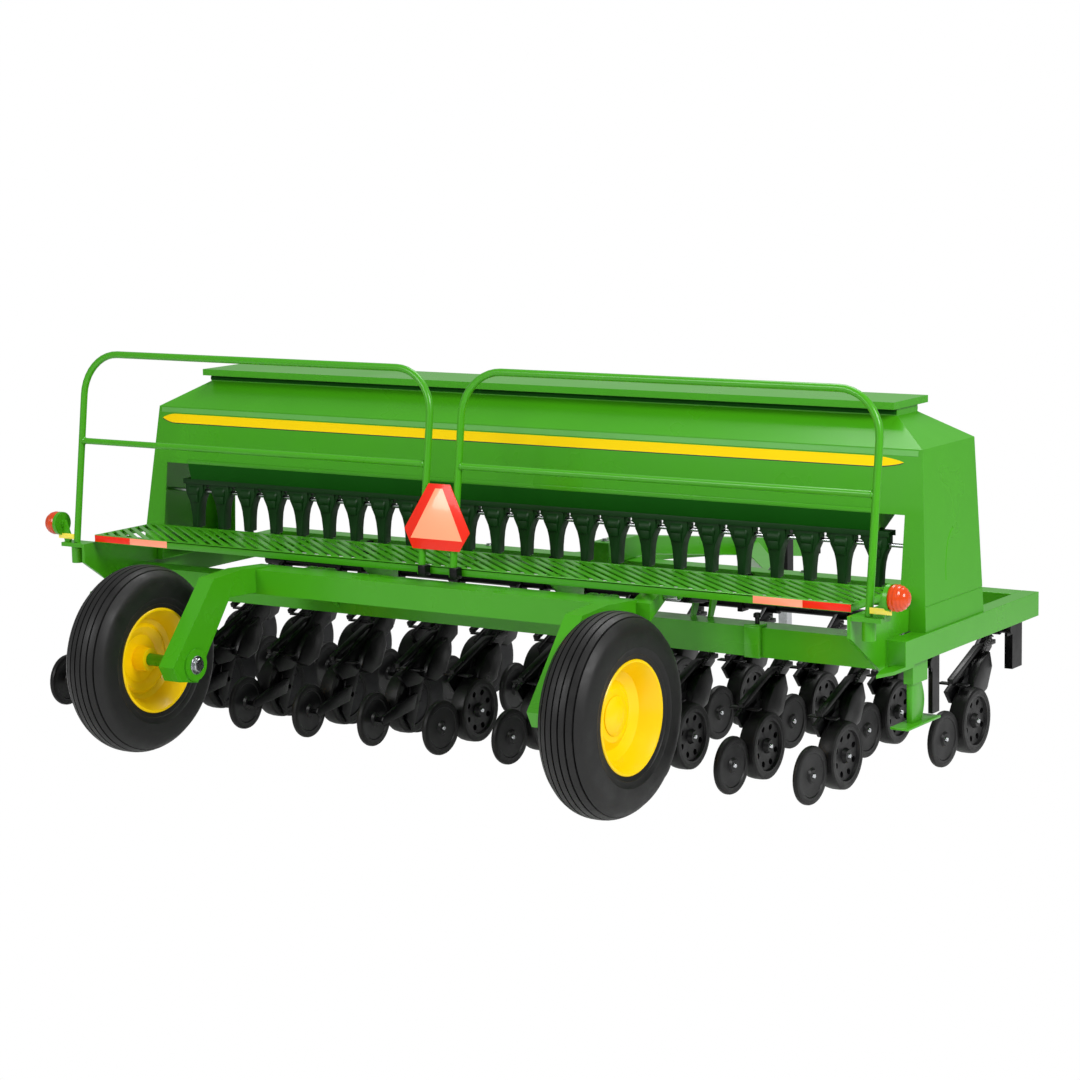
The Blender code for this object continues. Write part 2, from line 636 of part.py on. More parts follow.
def make_lid():
    """Shallow folded lid that fits over the neck and turns on the hinge stubs along its front edge."""
    half = BODY_HALF_LENGTH + LID_OVERHANG
    front = LID_REAR_Y + LID_DEPTH
    bottom = LID_TOP_Z - LID_HEIGHT
    lid = box((-half, LID_REAR_Y, bottom), (half, front, LID_TOP_Z))
    cut(lid, box((-half + SHEET, LID_REAR_Y + SHEET, bottom - SHEET),
                 (half - SHEET, front - SHEET, LID_TOP_Z - SHEET)))
    for step in (-1, 0, 1):
        for side in (-1, 1):
            near = step * HINGE_SPACING + side * (HINGE_LUG_WIDTH / 2 + 0.002)
            far = near + side * HINGE_KNUCKLE_WIDTH
            root = front - SHEET / 2
            join(lid, lug([(root, HINGE_Z + 0.006), (root, LID_TOP_Z - SHEET)], (HINGE_Y, HINGE_Z),
                          HINGE_ROD_RADIUS + HINGE_KNUCKLE_WALL, near, far, HINGE_ROD_RADIUS + TURN, 16))
    finish(lid, "hopper_lid", material("green_paint", GREEN, 0.35), (0, HINGE_Y, HINGE_Z))


def casing_block(side, sheet, reach):
    """A casing's outer form, or the room inside it when a sheet and an inward reach are given."""
    inner = BODY_HALF_LENGTH - reach
    foot_inner = CASING_FOOT_HALF_LENGTH - CASING_LEG_WIDTH - reach
    foot, shelf, roof = CASING_FOOT_Z + sheet, WALL_FOOT_Z + sheet, ROOF_Z - sheet
    slope = (ROOF_Z - RIDGE_Z) / (RIDGE_HALF_LENGTH - BODY_HALF_LENGTH)
    across = [(foot_inner, foot), (end_face_x(foot) - sheet, foot),
              (RIDGE_HALF_LENGTH - sheet, RIDGE_Z - sheet),
              (inner, roof + slope * reach), (inner, shelf), (foot_inner, shelf)]
    along = [(rear_face_y(foot) + sheet, foot), (rear_face_y(RIDGE_Z) + sheet, RIDGE_Z - sheet / 2),
             (NECK_REAR_Y + sheet / 2, roof), (NECK_FRONT_Y - sheet / 2, roof),
             (front_face_y(RIDGE_Z) - sheet, RIDGE_Z - sheet / 2), (front_face_y(foot) - sheet, foot)]
    block = prism([(side * x, z) for x, z in across], "y", HOPPER_REAR_Y - 0.1, HOPPER_FRONT_Y + 0.2)
    low, high = sorted((side * (inner - 0.1), side * (CASING_FOOT_HALF_LENGTH + 0.1)))
    return combine(block, [prism(along, "x", low, high)], "INTERSECT")


def make_end_casing(side, word):
    """Formed end cover: outer sheet with rear, front, foot and hipped top flanges, open inwards."""
    casing = cut(casing_block(side, 0.0, 0.0), casing_block(side, SHEET, 0.02))
    finish(casing, "end_casing_" + word, material("green_paint", GREEN, 0.35))


def cup_x(index):
    return (index - (CUP_COUNT - 1) / 2) * CUP_PITCH


def make_seed_cups():
    """Row of fluted-feed seed cups on their carrier rail, bored for the feed shaft."""
    top = OUTLET_Z - SEAT
    half = cup_x(CUP_COUNT - 1) + CUP_TOP_WIDTH / 2 + 0.01
    row = box((-half, CUP_Y - CUP_RAIL_DEPTH / 2, top - CUP_RAIL_HEIGHT),
              (half, CUP_Y + CUP_RAIL_DEPTH / 2, top))
    cup_top = top - CUP_RAIL_HEIGHT / 2
    shoulder = METER_SHAFT_Z - 0.028
    for index in range(CUP_COUNT):
        x = cup_x(index)
        points = []
        for z, width, depth in ((cup_top, CUP_TOP_WIDTH, CUP_TOP_DEPTH),
                                (shoulder, CUP_TOP_WIDTH * 0.86, CUP_TOP_DEPTH),
                                (top - CUP_HEIGHT, CUP_FOOT_WIDTH, CUP_FOOT_DEPTH)):
            points += [(x + sx * width / 2, CUP_Y + sy * depth / 2, z) for sx in (-1, 1) for sy in (-1, 1)]
        join(row, hull(points))
    cut(row, rod((-half - 0.1, CUP_Y, METER_SHAFT_Z), (half + 0.1, CUP_Y, METER_SHAFT_Z),
                 METER_SHAFT_RADIUS + TURN, METER_SHAFT_SIDES))
    finish(row, "seed_cup_row", material("black_paint", BLACK, 0.45))
    shaft = rod((-METER_SHAFT_HALF_LENGTH, CUP_Y, METER_SHAFT_Z),
                (METER_SHAFT_HALF_LENGTH, CUP_Y, METER_SHAFT_Z),
                METER_SHAFT_RADIUS, METER_SHAFT_SIDES)
    finish(shaft, "meter_shaft", material("zinc_steel", STEEL, 0.35, 0.9), (0, CUP_Y, METER_SHAFT_Z))


# ---- Walkboard, handrails, brackets, lamps, sign ----------------------------------------------
def make_walkboard():
    """Folded walkboard on two struts that stand on the rear tube."""
    front = WALKBOARD_REAR_Y + WALKBOARD_DEPTH
    sheet = WALKBOARD_SHEET
    underside = WALKBOARD_TOP_Z - sheet
    low = WALKBOARD_TOP_Z - WALKBOARD_FLANGE
    board = prism([(WALKBOARD_REAR_Y, low), (WALKBOARD_REAR_Y + sheet, low),
                   (WALKBOARD_REAR_Y + sheet, underside),
                   (front - sheet, underside), (front - sheet, low), (front, low), (front, WALKBOARD_TOP_Z),
                   (WALKBOARD_REAR_Y, WALKBOARD_TOP_Z)], "x", -WALKBOARD_HALF_LENGTH, WALKBOARD_HALF_LENGTH)
    for side in (-1, 1):
        middle = side * WALKBOARD_STRUT_X
        strut = prism([(FRAME_REAR_Y + 0.01, FRAME_TOP_Z + SEAT),
                       (REAR_TUBE_FRONT_Y - 0.01, FRAME_TOP_Z + SEAT),
                       (front - 0.03, underside + sheet / 2),
                       (WALKBOARD_REAR_Y + 0.06, underside + sheet / 2)],
                      "x", middle - WALKBOARD_STRUT_WIDTH / 2, middle + WALKBOARD_STRUT_WIDTH / 2)
        join(board, strut)
    finish(board, "walkboard", material("green_paint", GREEN, 0.35))


def post_y(z):
    """Y of a handrail post's centre at a height: the posts lean forward."""
    return POST_FOOT_Y + (z - post_foot_z()) * math.tan(POST_LEAN)


def post_foot_z():
    return WALKBOARD_TOP_Z - WALKBOARD_FLANGE - 0.004


def make_handrail(side, word):
    """Round-tube hoop with a middle bar and the clip that holds its inner post to the walkboard."""
    foot_z = post_foot_z() + SEAT
    def place(x, z):
        return (x, post_y(z), z)
    inner, outer = side * POST_INNER_X, side * POST_OUTER_X
    steps = 5
    path = [place(inner, foot_z - POST_RADIUS)]
    for centre_x, start in ((inner + side * HOOP_RADIUS, math.pi),
                            (outer - side * HOOP_RADIUS, math.pi / 2)):
        for step in range(steps + 1):
            angle = start - step * math.pi / 2 / steps
            path.append(place(centre_x + side * HOOP_RADIUS * math.cos(angle),
                              POST_TOP_Z - POST_RADIUS - HOOP_RADIUS + HOOP_RADIUS * math.sin(angle)))
    path.append(place(outer, foot_z - POST_RADIUS))
    rail = tube(path, POST_RADIUS, POST_SIDES)
    low, high = sorted((inner - side * 0.1, outer + side * 0.1))
    cut(rail, box((low, POST_FOOT_Y - 0.1, foot_z - 0.1), (high, POST_FOOT_Y + 0.1, foot_z)))
    join(rail, tube([place(inner, MID_BAR_Z), place(outer, MID_BAR_Z)], MID_BAR_RADIUS, POST_SIDES))
    clip_z = WALKBOARD_TOP_Z - WALKBOARD_FLANGE / 2
    low, high = sorted((inner - side * POST_CLIP_WIDTH / 2, inner + side * POST_CLIP_WIDTH / 2))
    join(rail, box((low, post_y(clip_z), clip_z - 0.012), (high, WALKBOARD_REAR_Y - SEAT, clip_z + 0.012)))
    finish(rail, "handrail_" + word, material("green_paint", GREEN, 0.35))


def make_end_bracket(side, word):
    """End bracket: gusset on the rear tube, shelf under the outer post, rear flange and lamp arm."""
    shelf_top = post_foot_z()
    front = FRAME_REAR_Y - SEAT
    low, high = sorted((side * BRACKET_INNER_X, side * (BRACKET_INNER_X + BRACKET_GUSSET_WIDTH)))
    tube_bottom = FRAME_TOP_Z - REAR_TUBE_HEIGHT
    casing = rear_face_y(BRACKET_TOP_Z) - BRACKET_CASING_GAP
    foot = rear_face_y(FRAME_TOP_Z) - BRACKET_CASING_GAP
    gusset = prism([(BRACKET_REAR_Y, shelf_top), (BRACKET_REAR_Y, shelf_top - BRACKET_DROP),
                    (front - 0.04, tube_bottom),
                    (front, tube_bottom), (front, FRAME_TOP_Z + SEAT), (foot, FRAME_TOP_Z + SEAT),
                    (casing, BRACKET_TOP_Z), (front, shelf_top)], "x", low, high)
    far = side * BRACKET_OUTER_X
    low, high = sorted((side * (BRACKET_INNER_X + 0.002), far))
    shelf = box((low, BRACKET_REAR_Y + 0.004, shelf_top - BRACKET_SHELF),
                (high, POST_FOOT_Y + 0.06, shelf_top - 0.0001))
    join(gusset, shelf)
    socket = (side * POST_OUTER_X, POST_FOOT_Y)
    join(gusset, rod((*socket, shelf_top - SOCKET_DEPTH), (*socket, shelf_top - BRACKET_SHELF / 2),
                     SOCKET_RADIUS, 12))
    arm_half = LAMP_ARM_THICKNESS / 2
    base_x = LAMP_X - LAMP_RADIUS * 0.45
    arm = prism([(side * (BRACKET_OUTER_X - 0.02), shelf_top - BRACKET_SHELF * 0.8),
                 (side * (BRACKET_OUTER_X - 0.001), shelf_top - BRACKET_SHELF * 0.8),
                 (side * (base_x - LAMP_BASE_THICKNESS - 0.001), LAMP_Z - LAMP_ARM_HEIGHT),
                 (side * (base_x - LAMP_BASE_THICKNESS - 0.001), LAMP_Z + 0.02),
                 (side * (base_x - LAMP_BASE_THICKNESS - 0.02), LAMP_Z + 0.02),
                 (side * (BRACKET_OUTER_X - 0.045),
                  shelf_top + 0.02)], "y", LAMP_Y - arm_half, LAMP_Y + arm_half)
    join(gusset, arm)
    plate = rod((side * (base_x - LAMP_BASE_THICKNESS), LAMP_Y, LAMP_Z),
                (side * (base_x - SEAT), LAMP_Y, LAMP_Z),
                LAMP_BASE_RADIUS)
    neck = rod((side * (base_x - LAMP_BASE_THICKNESS - 0.012), LAMP_Y, LAMP_Z),
               (side * (base_x - LAMP_BASE_THICKNESS / 2), LAMP_Y, LAMP_Z), 0.022, 8)
    join(gusset, join(plate, neck))
    finish(gusset, "end_bracket_" + word, material("green_paint", GREEN, 0.35))


def make_lamp(side, word):
    """Amber marker lamp: a domed lens that faces outwards."""
    base_x = LAMP_X - LAMP_RADIUS * 0.45
    bm = bmesh.new()
    bmesh.ops.create_uvsphere(bm, u_segments=16, v_segments=10, radius=LAMP_RADIUS)
    bmesh.ops.rotate(bm, cent=(0, 0, 0), matrix=Matrix.Rotation(math.pi / 2, 3, "Y"), verts=bm.verts)
    bmesh.ops.translate(bm, vec=(side * LAMP_X, LAMP_Y, LAMP_Z), verts=bm.verts)
    lens = to_object("lens", bm)
    low, high = sorted((side * (base_x - 1), side * base_x))
    cut(lens, box((low, LAMP_Y - 1, LAMP_Z - 1), (high, LAMP_Y + 1, LAMP_Z + 1)))
    finish(lens, "marker_lamp_" + word, material("amber_lens", AMBER, 0.25))


def make_sign():
    """Truncated-triangle warning plate on the two inner posts, parallel with them."""
    half, tip, foot = SIGN_WIDTH / 2, SIGN_TIP_WIDTH / 2, SIGN_FOOT_WIDTH / 2
    outline = [(-foot, 0), (foot, 0), (half, SIGN_CORNER_HEIGHT), (tip, SIGN_HEIGHT), (-tip, SIGN_HEIGHT),
               (-half, SIGN_CORNER_HEIGHT)]
    plate = prism(outline, "y", -SIGN_THICKNESS, 0)
    turn = Matrix.Rotation(-POST_LEAN, 4, "X")
    offset = (POST_RADIUS * math.cos(math.pi / POST_SIDES) + SEAT) / math.cos(POST_LEAN)
    shift = Matrix.Translation((0, post_y(SIGN_FOOT_Z) - offset, SIGN_FOOT_Z))
    plate.data.transform(shift @ turn)
    finish(plate, "slow_vehicle_sign", material("signal_film", SIGNAL, 0.4))


# ---- Lift and wheels --------------------------------------------------------------------------
def make_lift():
    """Lift beam with its two gooseneck arms, pivot ears and wheel spindles, and the shaft it turns on."""
    beam_front = BEAM_REAR_Y + BEAM_DEPTH
    beam_bottom = BEAM_TOP_Z - BEAM_HEIGHT
    inner_edge = ARM_INNER_X + ARM_WIDTH / 2
    beam = box((-inner_edge, BEAM_REAR_Y, beam_bottom), (inner_edge, beam_front, BEAM_TOP_Z))
    axle = Vector((AXLE_Y, LIFT_AXLE_Z))
    for side in (-1, 1):
        low, high = sorted((side * ARM_INNER_X, side * (ARM_INNER_X + ARM_WIDTH)))
        outline = [(BEAM_REAR_Y - 0.110, BEAM_TOP_Z + 0.019), (BEAM_REAR_Y - 0.345, BEAM_TOP_Z + 0.004),
                   (axle.x - 0.172, axle.y + 0.010), (axle.x - 0.130, axle.y - 0.070),
                   (axle.x + 0.020, axle.y - 0.098),
                   (axle.x + 0.098, axle.y + 0.032), (BEAM_REAR_Y - 0.220, beam_bottom + 0.016),
                   (beam_front - 0.001, beam_bottom - 0.001), (beam_front - 0.001, BEAM_TOP_Z + 0.001)]
        arm = prism(outline, "x", low, high)
        face = side * (ARM_INNER_X + ARM_WIDTH)
        rim_face = side * (WHEEL_X - RIM_DISC / 2)
        join(arm, rod((side * (ARM_INNER_X - 0.012), AXLE_Y, LIFT_AXLE_Z),
                      (face + side * 0.010, AXLE_Y, LIFT_AXLE_Z),
                      AXLE_BOSS_RADIUS))
        join(arm, rod((face, AXLE_Y, LIFT_AXLE_Z), (rim_face + side * (RIM_DISC + 0.03), AXLE_Y,
                                                    LIFT_AXLE_Z),
                      SPINDLE_RADIUS))
        join(beam, arm)
        for spread in (-1, 1):
            middle = side * LIFT_EAR_X + spread * LIFT_EAR_SPREAD
            half = LIFT_EAR_WIDTH / 2
            root = beam_front - 0.01
            join(beam, lug([(root, beam_bottom + 0.03), (root, BEAM_TOP_Z - 0.02)],
                           (LIFT_PIVOT_Y, LIFT_PIVOT_Z),
                           LIFT_EAR_RADIUS, middle - half, middle + half, LIFT_SHAFT_RADIUS + TURN, 16))
    pin_x = CYLINDER_X - EYE_WIDTH / 2 - 0.004
    root = beam_front - 0.03
    join(beam, lug([(root, BEAM_TOP_Z - 0.10), (root, BEAM_TOP_Z - 0.01)], (ROD_PIN_Y, ROD_PIN_Z),
                   EYE_RADIUS,
                   ARM_INNER_X + ARM_WIDTH - 0.03, pin_x))
    join(beam, rod((pin_x - 0.01, ROD_PIN_Y, ROD_PIN_Z),
                   (CYLINDER_X + EYE_WIDTH / 2 + 0.012, ROD_PIN_Y, ROD_PIN_Z),
                   CYLINDER_PIN_RADIUS, 12))
    finish(beam, "lift_beam", material("green_paint", GREEN, 0.35), (0, LIFT_PIVOT_Y, LIFT_PIVOT_Z))
    reach = LIFT_EAR_X + LIFT_EAR_SPREAD + LIFT_EAR_WIDTH
    shaft = rod((-reach, LIFT_PIVOT_Y, LIFT_PIVOT_Z), (reach, LIFT_PIVOT_Y, LIFT_PIVOT_Z),
                LIFT_SHAFT_RADIUS)
    finish(shaft, "lift_pivot_shaft", material("zinc_steel", STEEL, 0.35, 0.9))


def make_wheel(side, word):
    """Tyre on its dished disc rim. The rim's hub turns on the spindle."""
    half = TYRE_WIDTH / 2
    crown, shoulder = TYRE_RADIUS, TYRE_RADIUS - 0.030
    bead = RIM_RADIUS + SEAT
    tyre = turned([(-half * 0.55, bead), (half * 0.55, bead), (half * 0.86, bead + 0.020),
                   (half, bead + 0.085),
                   (half * 0.93, shoulder - 0.030), (half * 0.62, crown), (-half * 0.62, crown),
                   (-half * 0.93, shoulder - 0.030), (-half, bead + 0.085), (-half * 0.86, bead + 0.020)],
                  (side * WHEEL_X, AXLE_Y, TYRE_RADIUS), WHEEL_SIDES)
    centre = (side * WHEEL_X, AXLE_Y, TYRE_RADIUS)
    finish(tyre, "tyre_" + word, material("tyre_rubber", RUBBER, 0.75), centre)
    width = half * 0.84
    bore = SPINDLE_RADIUS + TURN
    dish = 0.035
    rim = turned([(-side * width, RIM_RADIUS), (-side * width, RIM_RADIUS - 0.020),
                  (-side * (dish + 0.02), RIM_RADIUS - 0.045),
                  (-side * (RIM_DISC + 0.005), 0.140), (-side * 0.060, HUB_RADIUS), (-side * 0.060, bore),
                  (side * 0.050, bore), (side * 0.050, HUB_RADIUS), (side * RIM_DISC, HUB_RADIUS + 0.010),
                  (side * RIM_DISC * 0.2, 0.150), (-side * dish * 0.2, RIM_RADIUS - 0.050),
                  (side * width, RIM_RADIUS - 0.020),
                  (side * width, RIM_RADIUS)], centre, WHEEL_SIDES)
    finish(rim, "wheel_rim_" + word, material("yellow_paint", YELLOW, 0.35), centre)


def make_lift_cylinder():
    """Hydraulic cylinder: a barrel on the rear tube's pin, and a rod whose eye goes round the lever's pin."""
    base = Vector((CYLINDER_X, BARREL_PIN_Y, BARREL_PIN_Z))
    far = Vector((CYLINDER_X, ROD_PIN_Y, ROD_PIN_Z))
    along = (far - base).normalized()
    half = EYE_WIDTH / 2
    start = base + along * (EYE_RADIUS - 0.004)
    mouth = base + along * BARREL_LENGTH
    barrel = join(rod(start, mouth, BARREL_RADIUS),
                  rod(base - Vector((half, 0, 0)), base + Vector((half, 0, 0)), EYE_RADIUS, 12))
    cut(barrel, rod(base - Vector((2 * half, 0, 0)), base + Vector((2 * half, 0, 0)),
                    CYLINDER_PIN_RADIUS + TURN, 12))
    cut(barrel, rod(base + along * 0.060, mouth + along * 0.02, ROD_RADIUS + TURN, 12))
    finish(barrel, "lift_cylinder_barrel", material("black_paint", BLACK, 0.45), base)
    piston = join(rod(base + along * 0.075, far - along * (EYE_RADIUS - 0.006), ROD_RADIUS, 12),
                  rod(far - Vector((half, 0, 0)), far + Vector((half, 0, 0)), EYE_RADIUS, 12))
    cut(piston, rod(far - Vector((2 * half, 0, 0)), far + Vector((2 * half, 0, 0)),
                    CYLINDER_PIN_RADIUS + OPEN_PIVOT_GAP, 12))
    finish(piston, "lift_cylinder_rod", material("zinc_steel", STEEL, 0.35, 0.9), far)


# ---- Openers ----------------------------------------------------------------------------------
def opener_x(first, index):
    return first + index * OPENER_PITCH


def make_opener_shaft(name, first, pivot_y, tube_face_y, ahead, hanger):
    """Fixed shaft that one rank of openers hangs on, with its brackets on the tube and under the rails."""
    margin = OPENER_BOSS_WIDTH / 2 + 0.035
    low, high = opener_x(first, 0) - margin, opener_x(first, RANK_COUNT - 1) + margin
    inner_x, width, near_y, far_y, bottom_z = hanger
    low, high = min(low, -inner_x - width), max(high, inner_x + width)
    shaft = rod((low, pivot_y, PIVOT_Z), (high, pivot_y, PIVOT_Z), OPENER_SHAFT_RADIUS, OPENER_SHAFT_SIDES)
    lap = OPENER_SHAFT_RADIUS + 0.012
    near, far = tube_face_y + ahead * SEAT, pivot_y + ahead * lap
    top, foot = FRAME_TOP_Z - 0.012, PIVOT_Z - lap
    for index in range(1, RANK_COUNT - 1, 3):
        middle = opener_x(first, index) + OPENER_PITCH / 2
        half = SHAFT_BRACKET_WIDTH / 2
        bracket = prism([(near, PIVOT_Z + 0.045), (near, top), (near + ahead * 0.02, top),
                         (far, PIVOT_Z + 0.01),
                         (far, foot), (pivot_y - ahead * 0.03, foot)], "x", middle - half, middle + half)
        join(shaft, bracket)
    for side in (-1, 1):
        inner, outer = sorted((side * inner_x, side * (inner_x + width)))
        join(shaft, box((inner, near_y, bottom_z), (outer, far_y, RAIL_BOTTOM_Z - SEAT)))
        inner, outer = sorted((side * (inner_x + width * 0.7), side * (inner_x + width)))
        join(shaft, box((inner, pivot_y - 0.02, PIVOT_Z - lap),
                        (outer - 0.001, far_y - 0.01, PIVOT_Z + 0.02)))
    finish(shaft, name, material("black_paint", BLACK, 0.45))


def opener_mesh(side):
    """One opener about its pivot: boss, arm, link, boot, disc, gauge wheel and closing wheel."""
    closing = (-CLOSING_BACK, GROUND_GAP + CLOSING_RADIUS - PIVOT_Z)
    gauge = (-GAUGE_BACK, GROUND_GAP + 0.012 + GAUGE_RADIUS - PIVOT_Z)
    disc = (-DISC_BACK, GROUND_GAP + 0.004 + DISC_RADIUS - PIVOT_Z)
    arm_x = -side * (GAUGE_WIDTH / 2 + OPENER_ARM_WIDTH / 2)
    def span(a, b):
        return sorted((arm_x + side * a, arm_x + side * b))
    boss_radius = OPENER_SHAFT_RADIUS + TURN + OPENER_BOSS_WALL
    boss_low, boss_high = sorted((arm_x - side * OPENER_ARM_WIDTH / 2,
                                  arm_x + side * (OPENER_BOSS_WIDTH - OPENER_ARM_WIDTH / 2)))
    unit = rod((boss_low, 0, 0), (boss_high, 0, 0), boss_radius, OPENER_SHAFT_SIDES)
    low, high = span(-OPENER_ARM_WIDTH / 2 + 0.001, OPENER_ARM_WIDTH / 2)
    arm = prism([(0.036, 0.000), (0.030, -0.120), (-0.100, -0.190), (gauge[0] + 0.02, gauge[1] + 0.10),
                 (gauge[0] - 0.10, gauge[1] + 0.10), (gauge[0] - 0.16, gauge[1] + 0.17),
                 (-0.190, -0.110), (-0.036, 0.000)],
                "x", low, high)
    join(unit, arm)
    low, high = span(OPENER_ARM_WIDTH / 2 - 0.012, OPENER_ARM_WIDTH / 2 + 0.022)
    link = prism([(0.020, -0.092), (0.020, -0.068), (-0.190, -0.068), (gauge[0] - 0.15, gauge[1] + 0.235),
                  (gauge[0] - 0.14, gauge[1] + 0.210), (-0.184, -0.092)], "x", low, high)
    join(unit, link)
    low, high = span(-OPENER_ARM_WIDTH / 2 + 0.004, OPENER_ARM_WIDTH / 2 - 0.012)
    rear_arm = prism([(disc[0] - 0.07, disc[1] + 0.03), (disc[0] - 0.14, disc[1] + 0.03),
                      (closing[0] - 0.010, closing[1] + 0.024), (closing[0] - 0.024, closing[1]),
                      (closing[0], closing[1] - 0.024), (disc[0] - 0.10, disc[1] - 0.05)], "x", low, high)
    join(unit, rear_arm)
    low, high = span(0.0, OPENER_ARM_WIDTH / 2 + 0.006)
    boot = prism([(disc[0] + 0.04, disc[1] + 0.16), (disc[0] - 0.10, disc[1] + 0.14),
                  (disc[0] - 0.15, disc[1] - 0.10),
                  (disc[0] - 0.10, disc[1] - DISC_RADIUS * 0.86)], "x", low, high)
    join(unit, boot)
    disc_x = arm_x + side * (OPENER_ARM_WIDTH / 2 + 0.010)
    tilt = math.radians(4.0)
    across = Vector((math.cos(tilt), side * math.sin(tilt), 0)) * DISC_THICKNESS / 2
    centre = Vector((disc_x, disc[0], disc[1]))
    join(unit, rod(centre - across, centre + across, DISC_RADIUS, OPENER_WHEEL_SIDES))
    centre = Vector((0.0, gauge[0], gauge[1]))
    half = Vector((GAUGE_WIDTH / 2, 0, 0))
    join(unit, rod(centre - half, centre + half, GAUGE_RADIUS, OPENER_WHEEL_SIDES))
    across = Vector((math.cos(CLOSING_TOE), -side * math.sin(CLOSING_TOE), 0)) * CLOSING_WIDTH / 2
    centre = Vector((0.0, closing[0], closing[1]))
    join(unit, rod(centre - across, centre + across, CLOSING_RADIUS, OPENER_WHEEL_SIDES))
    join(unit, rod((arm_x, closing[0], closing[1]), (0, closing[0], closing[1]), 0.016, 8))
    cut(unit, rod((boss_low - 0.05, 0, 0), (boss_high + 0.05, 0, 0), OPENER_SHAFT_RADIUS + TURN,
                  OPENER_SHAFT_SIDES))
    mesh = unit.data
    bpy.data.objects.remove(unit)
    mesh.materials.clear()
    mesh.materials.append(material("black_paint", BLACK, 0.45))
    return mesh


def make_openers():
    """Two ranks of equal openers, mirrored about the middle of the machine."""
    meshes = {-1: opener_mesh(-1), 1: opener_mesh(1)}
    for rank, first, pivot_y in (("rear", REAR_RANK_FIRST_X, REAR_PIVOT_Y),
                                 ("front", FRONT_RANK_FIRST_X, FRONT_PIVOT_Y)):
        for index in range(RANK_COUNT):
            x = opener_x(first, index)
            opener = bpy.data.objects.new(f"{rank}_opener_{index + 1:02d}", meshes[-1 if x < -0.01 else 1])
            opener.location = (x, pivot_y, PIVOT_Z)
            bpy.context.scene.collection.objects.link(opener)


def main():
    for old in list(bpy.data.objects):
        bpy.data.objects.remove(old)
    make_frame_tubes()
    both_sides(make_side_rail)
    make_tongue()
    make_jack()
    both_sides(make_parking_stand)
    make_hopper()
    make_lid()
    both_sides(make_end_casing)
    make_seed_cups()
    make_walkboard()
    both_sides(make_handrail)
    both_sides(make_end_bracket)
    both_sides(make_lamp)
    make_sign()
    make_lift()
    both_sides(make_wheel)
    make_lift_cylinder()
    make_opener_shaft("rear_opener_shaft", REAR_RANK_FIRST_X, REAR_PIVOT_Y, REAR_TUBE_FRONT_Y, 1,
                      (REAR_HANGER_INNER_X, REAR_HANGER_WIDTH, REAR_PIVOT_Y - REAR_HANGER_LAP,
                       REAR_PIVOT_Y + REAR_HANGER_REACH, REAR_HANGER_BOTTOM_Z))
    front_y = FRONT_PIVOT_Y + OPENER_SHAFT_RADIUS + TURN + OPENER_BOSS_WALL + HANGER_GAP
    make_opener_shaft("front_opener_shaft", FRONT_RANK_FIRST_X, FRONT_PIVOT_Y, FRONT_TUBE_REAR_Y, -1,
                      (HANGER_INNER_X, HANGER_WIDTH, front_y, front_y + HANGER_DEPTH, HANGER_BOTTOM_Z))
    make_openers()


main()
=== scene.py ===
"""Looks of the box grain drill: enamelled sheet and tube, ribbed tyres, and two ranks of disc openers.

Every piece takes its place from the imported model, rides on one of its bodies, and is made in metres at its
final place. X runs across the machine, +Y is the direction of travel, +Z is up.
"""
from __future__ import annotations

import json
import logging
import math
from collections.abc import Callable, Sequence
from dataclasses import dataclass
from enum import Enum

import bpy
from mathutils import Matrix, Vector


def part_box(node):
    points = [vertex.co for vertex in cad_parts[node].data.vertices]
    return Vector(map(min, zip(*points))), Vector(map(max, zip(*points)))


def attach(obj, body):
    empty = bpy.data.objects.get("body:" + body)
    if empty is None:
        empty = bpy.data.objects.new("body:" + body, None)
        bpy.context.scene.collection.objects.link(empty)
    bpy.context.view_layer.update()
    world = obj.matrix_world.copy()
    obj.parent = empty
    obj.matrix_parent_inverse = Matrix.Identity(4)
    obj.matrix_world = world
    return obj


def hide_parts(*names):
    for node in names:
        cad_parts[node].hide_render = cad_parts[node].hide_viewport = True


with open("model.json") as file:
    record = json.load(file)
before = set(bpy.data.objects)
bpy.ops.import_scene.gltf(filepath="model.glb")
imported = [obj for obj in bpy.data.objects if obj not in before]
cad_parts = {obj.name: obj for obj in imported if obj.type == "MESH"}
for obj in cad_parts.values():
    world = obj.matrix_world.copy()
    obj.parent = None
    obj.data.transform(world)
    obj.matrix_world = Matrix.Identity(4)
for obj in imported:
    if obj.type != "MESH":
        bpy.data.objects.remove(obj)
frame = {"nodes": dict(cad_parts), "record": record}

log = logging.getLogger("grain_drill")
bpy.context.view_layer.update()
BODY_OF = {node: body for body, nodes in frame["record"]["behaviour"]["bodies"].items() for node in nodes}
SLOT_OF = {part["node"]: part["material_slot"] for part in frame["record"]["subparts"]}
JOINTS = {joint["name"]: joint for joint in frame["record"]["behaviour"]["joints"]}
ROOT = "drill_frame"
Point = tuple[float, float, float]
Pair = tuple[float, float]


class Side(Enum):
    """The two sides of the machine, as the sign of X."""

    LEFT = -1
    RIGHT = 1

    @property
    def word(self) -> str:
        """The side's name in lower case, as the nodes use it."""
        return self.name.lower()


class Axis(Enum):
    """A row axis, as an index into a point."""

    X = 0
    Y = 1
    Z = 2


# ---- Finishes ---------------------------------------------------------------------------------
def linear(hex_colour: str) -> tuple[float, float, float, float]:
    """Turn an sRGB hex colour into linear light.

    Args:
        hex_colour: Six hex digits, such as "2E8B2A".

    Returns:
        Red, green and blue in linear light, and an alpha of 1.
    """
    parts = [int(hex_colour[i:i + 2], 16) / 255 for i in (0, 2, 4)]
    values = [part / 12.92 if part <= 0.04045 else ((part + 0.055) / 1.055) ** 2.4 for part in parts]
    return (values[0], values[1], values[2], 1.0)


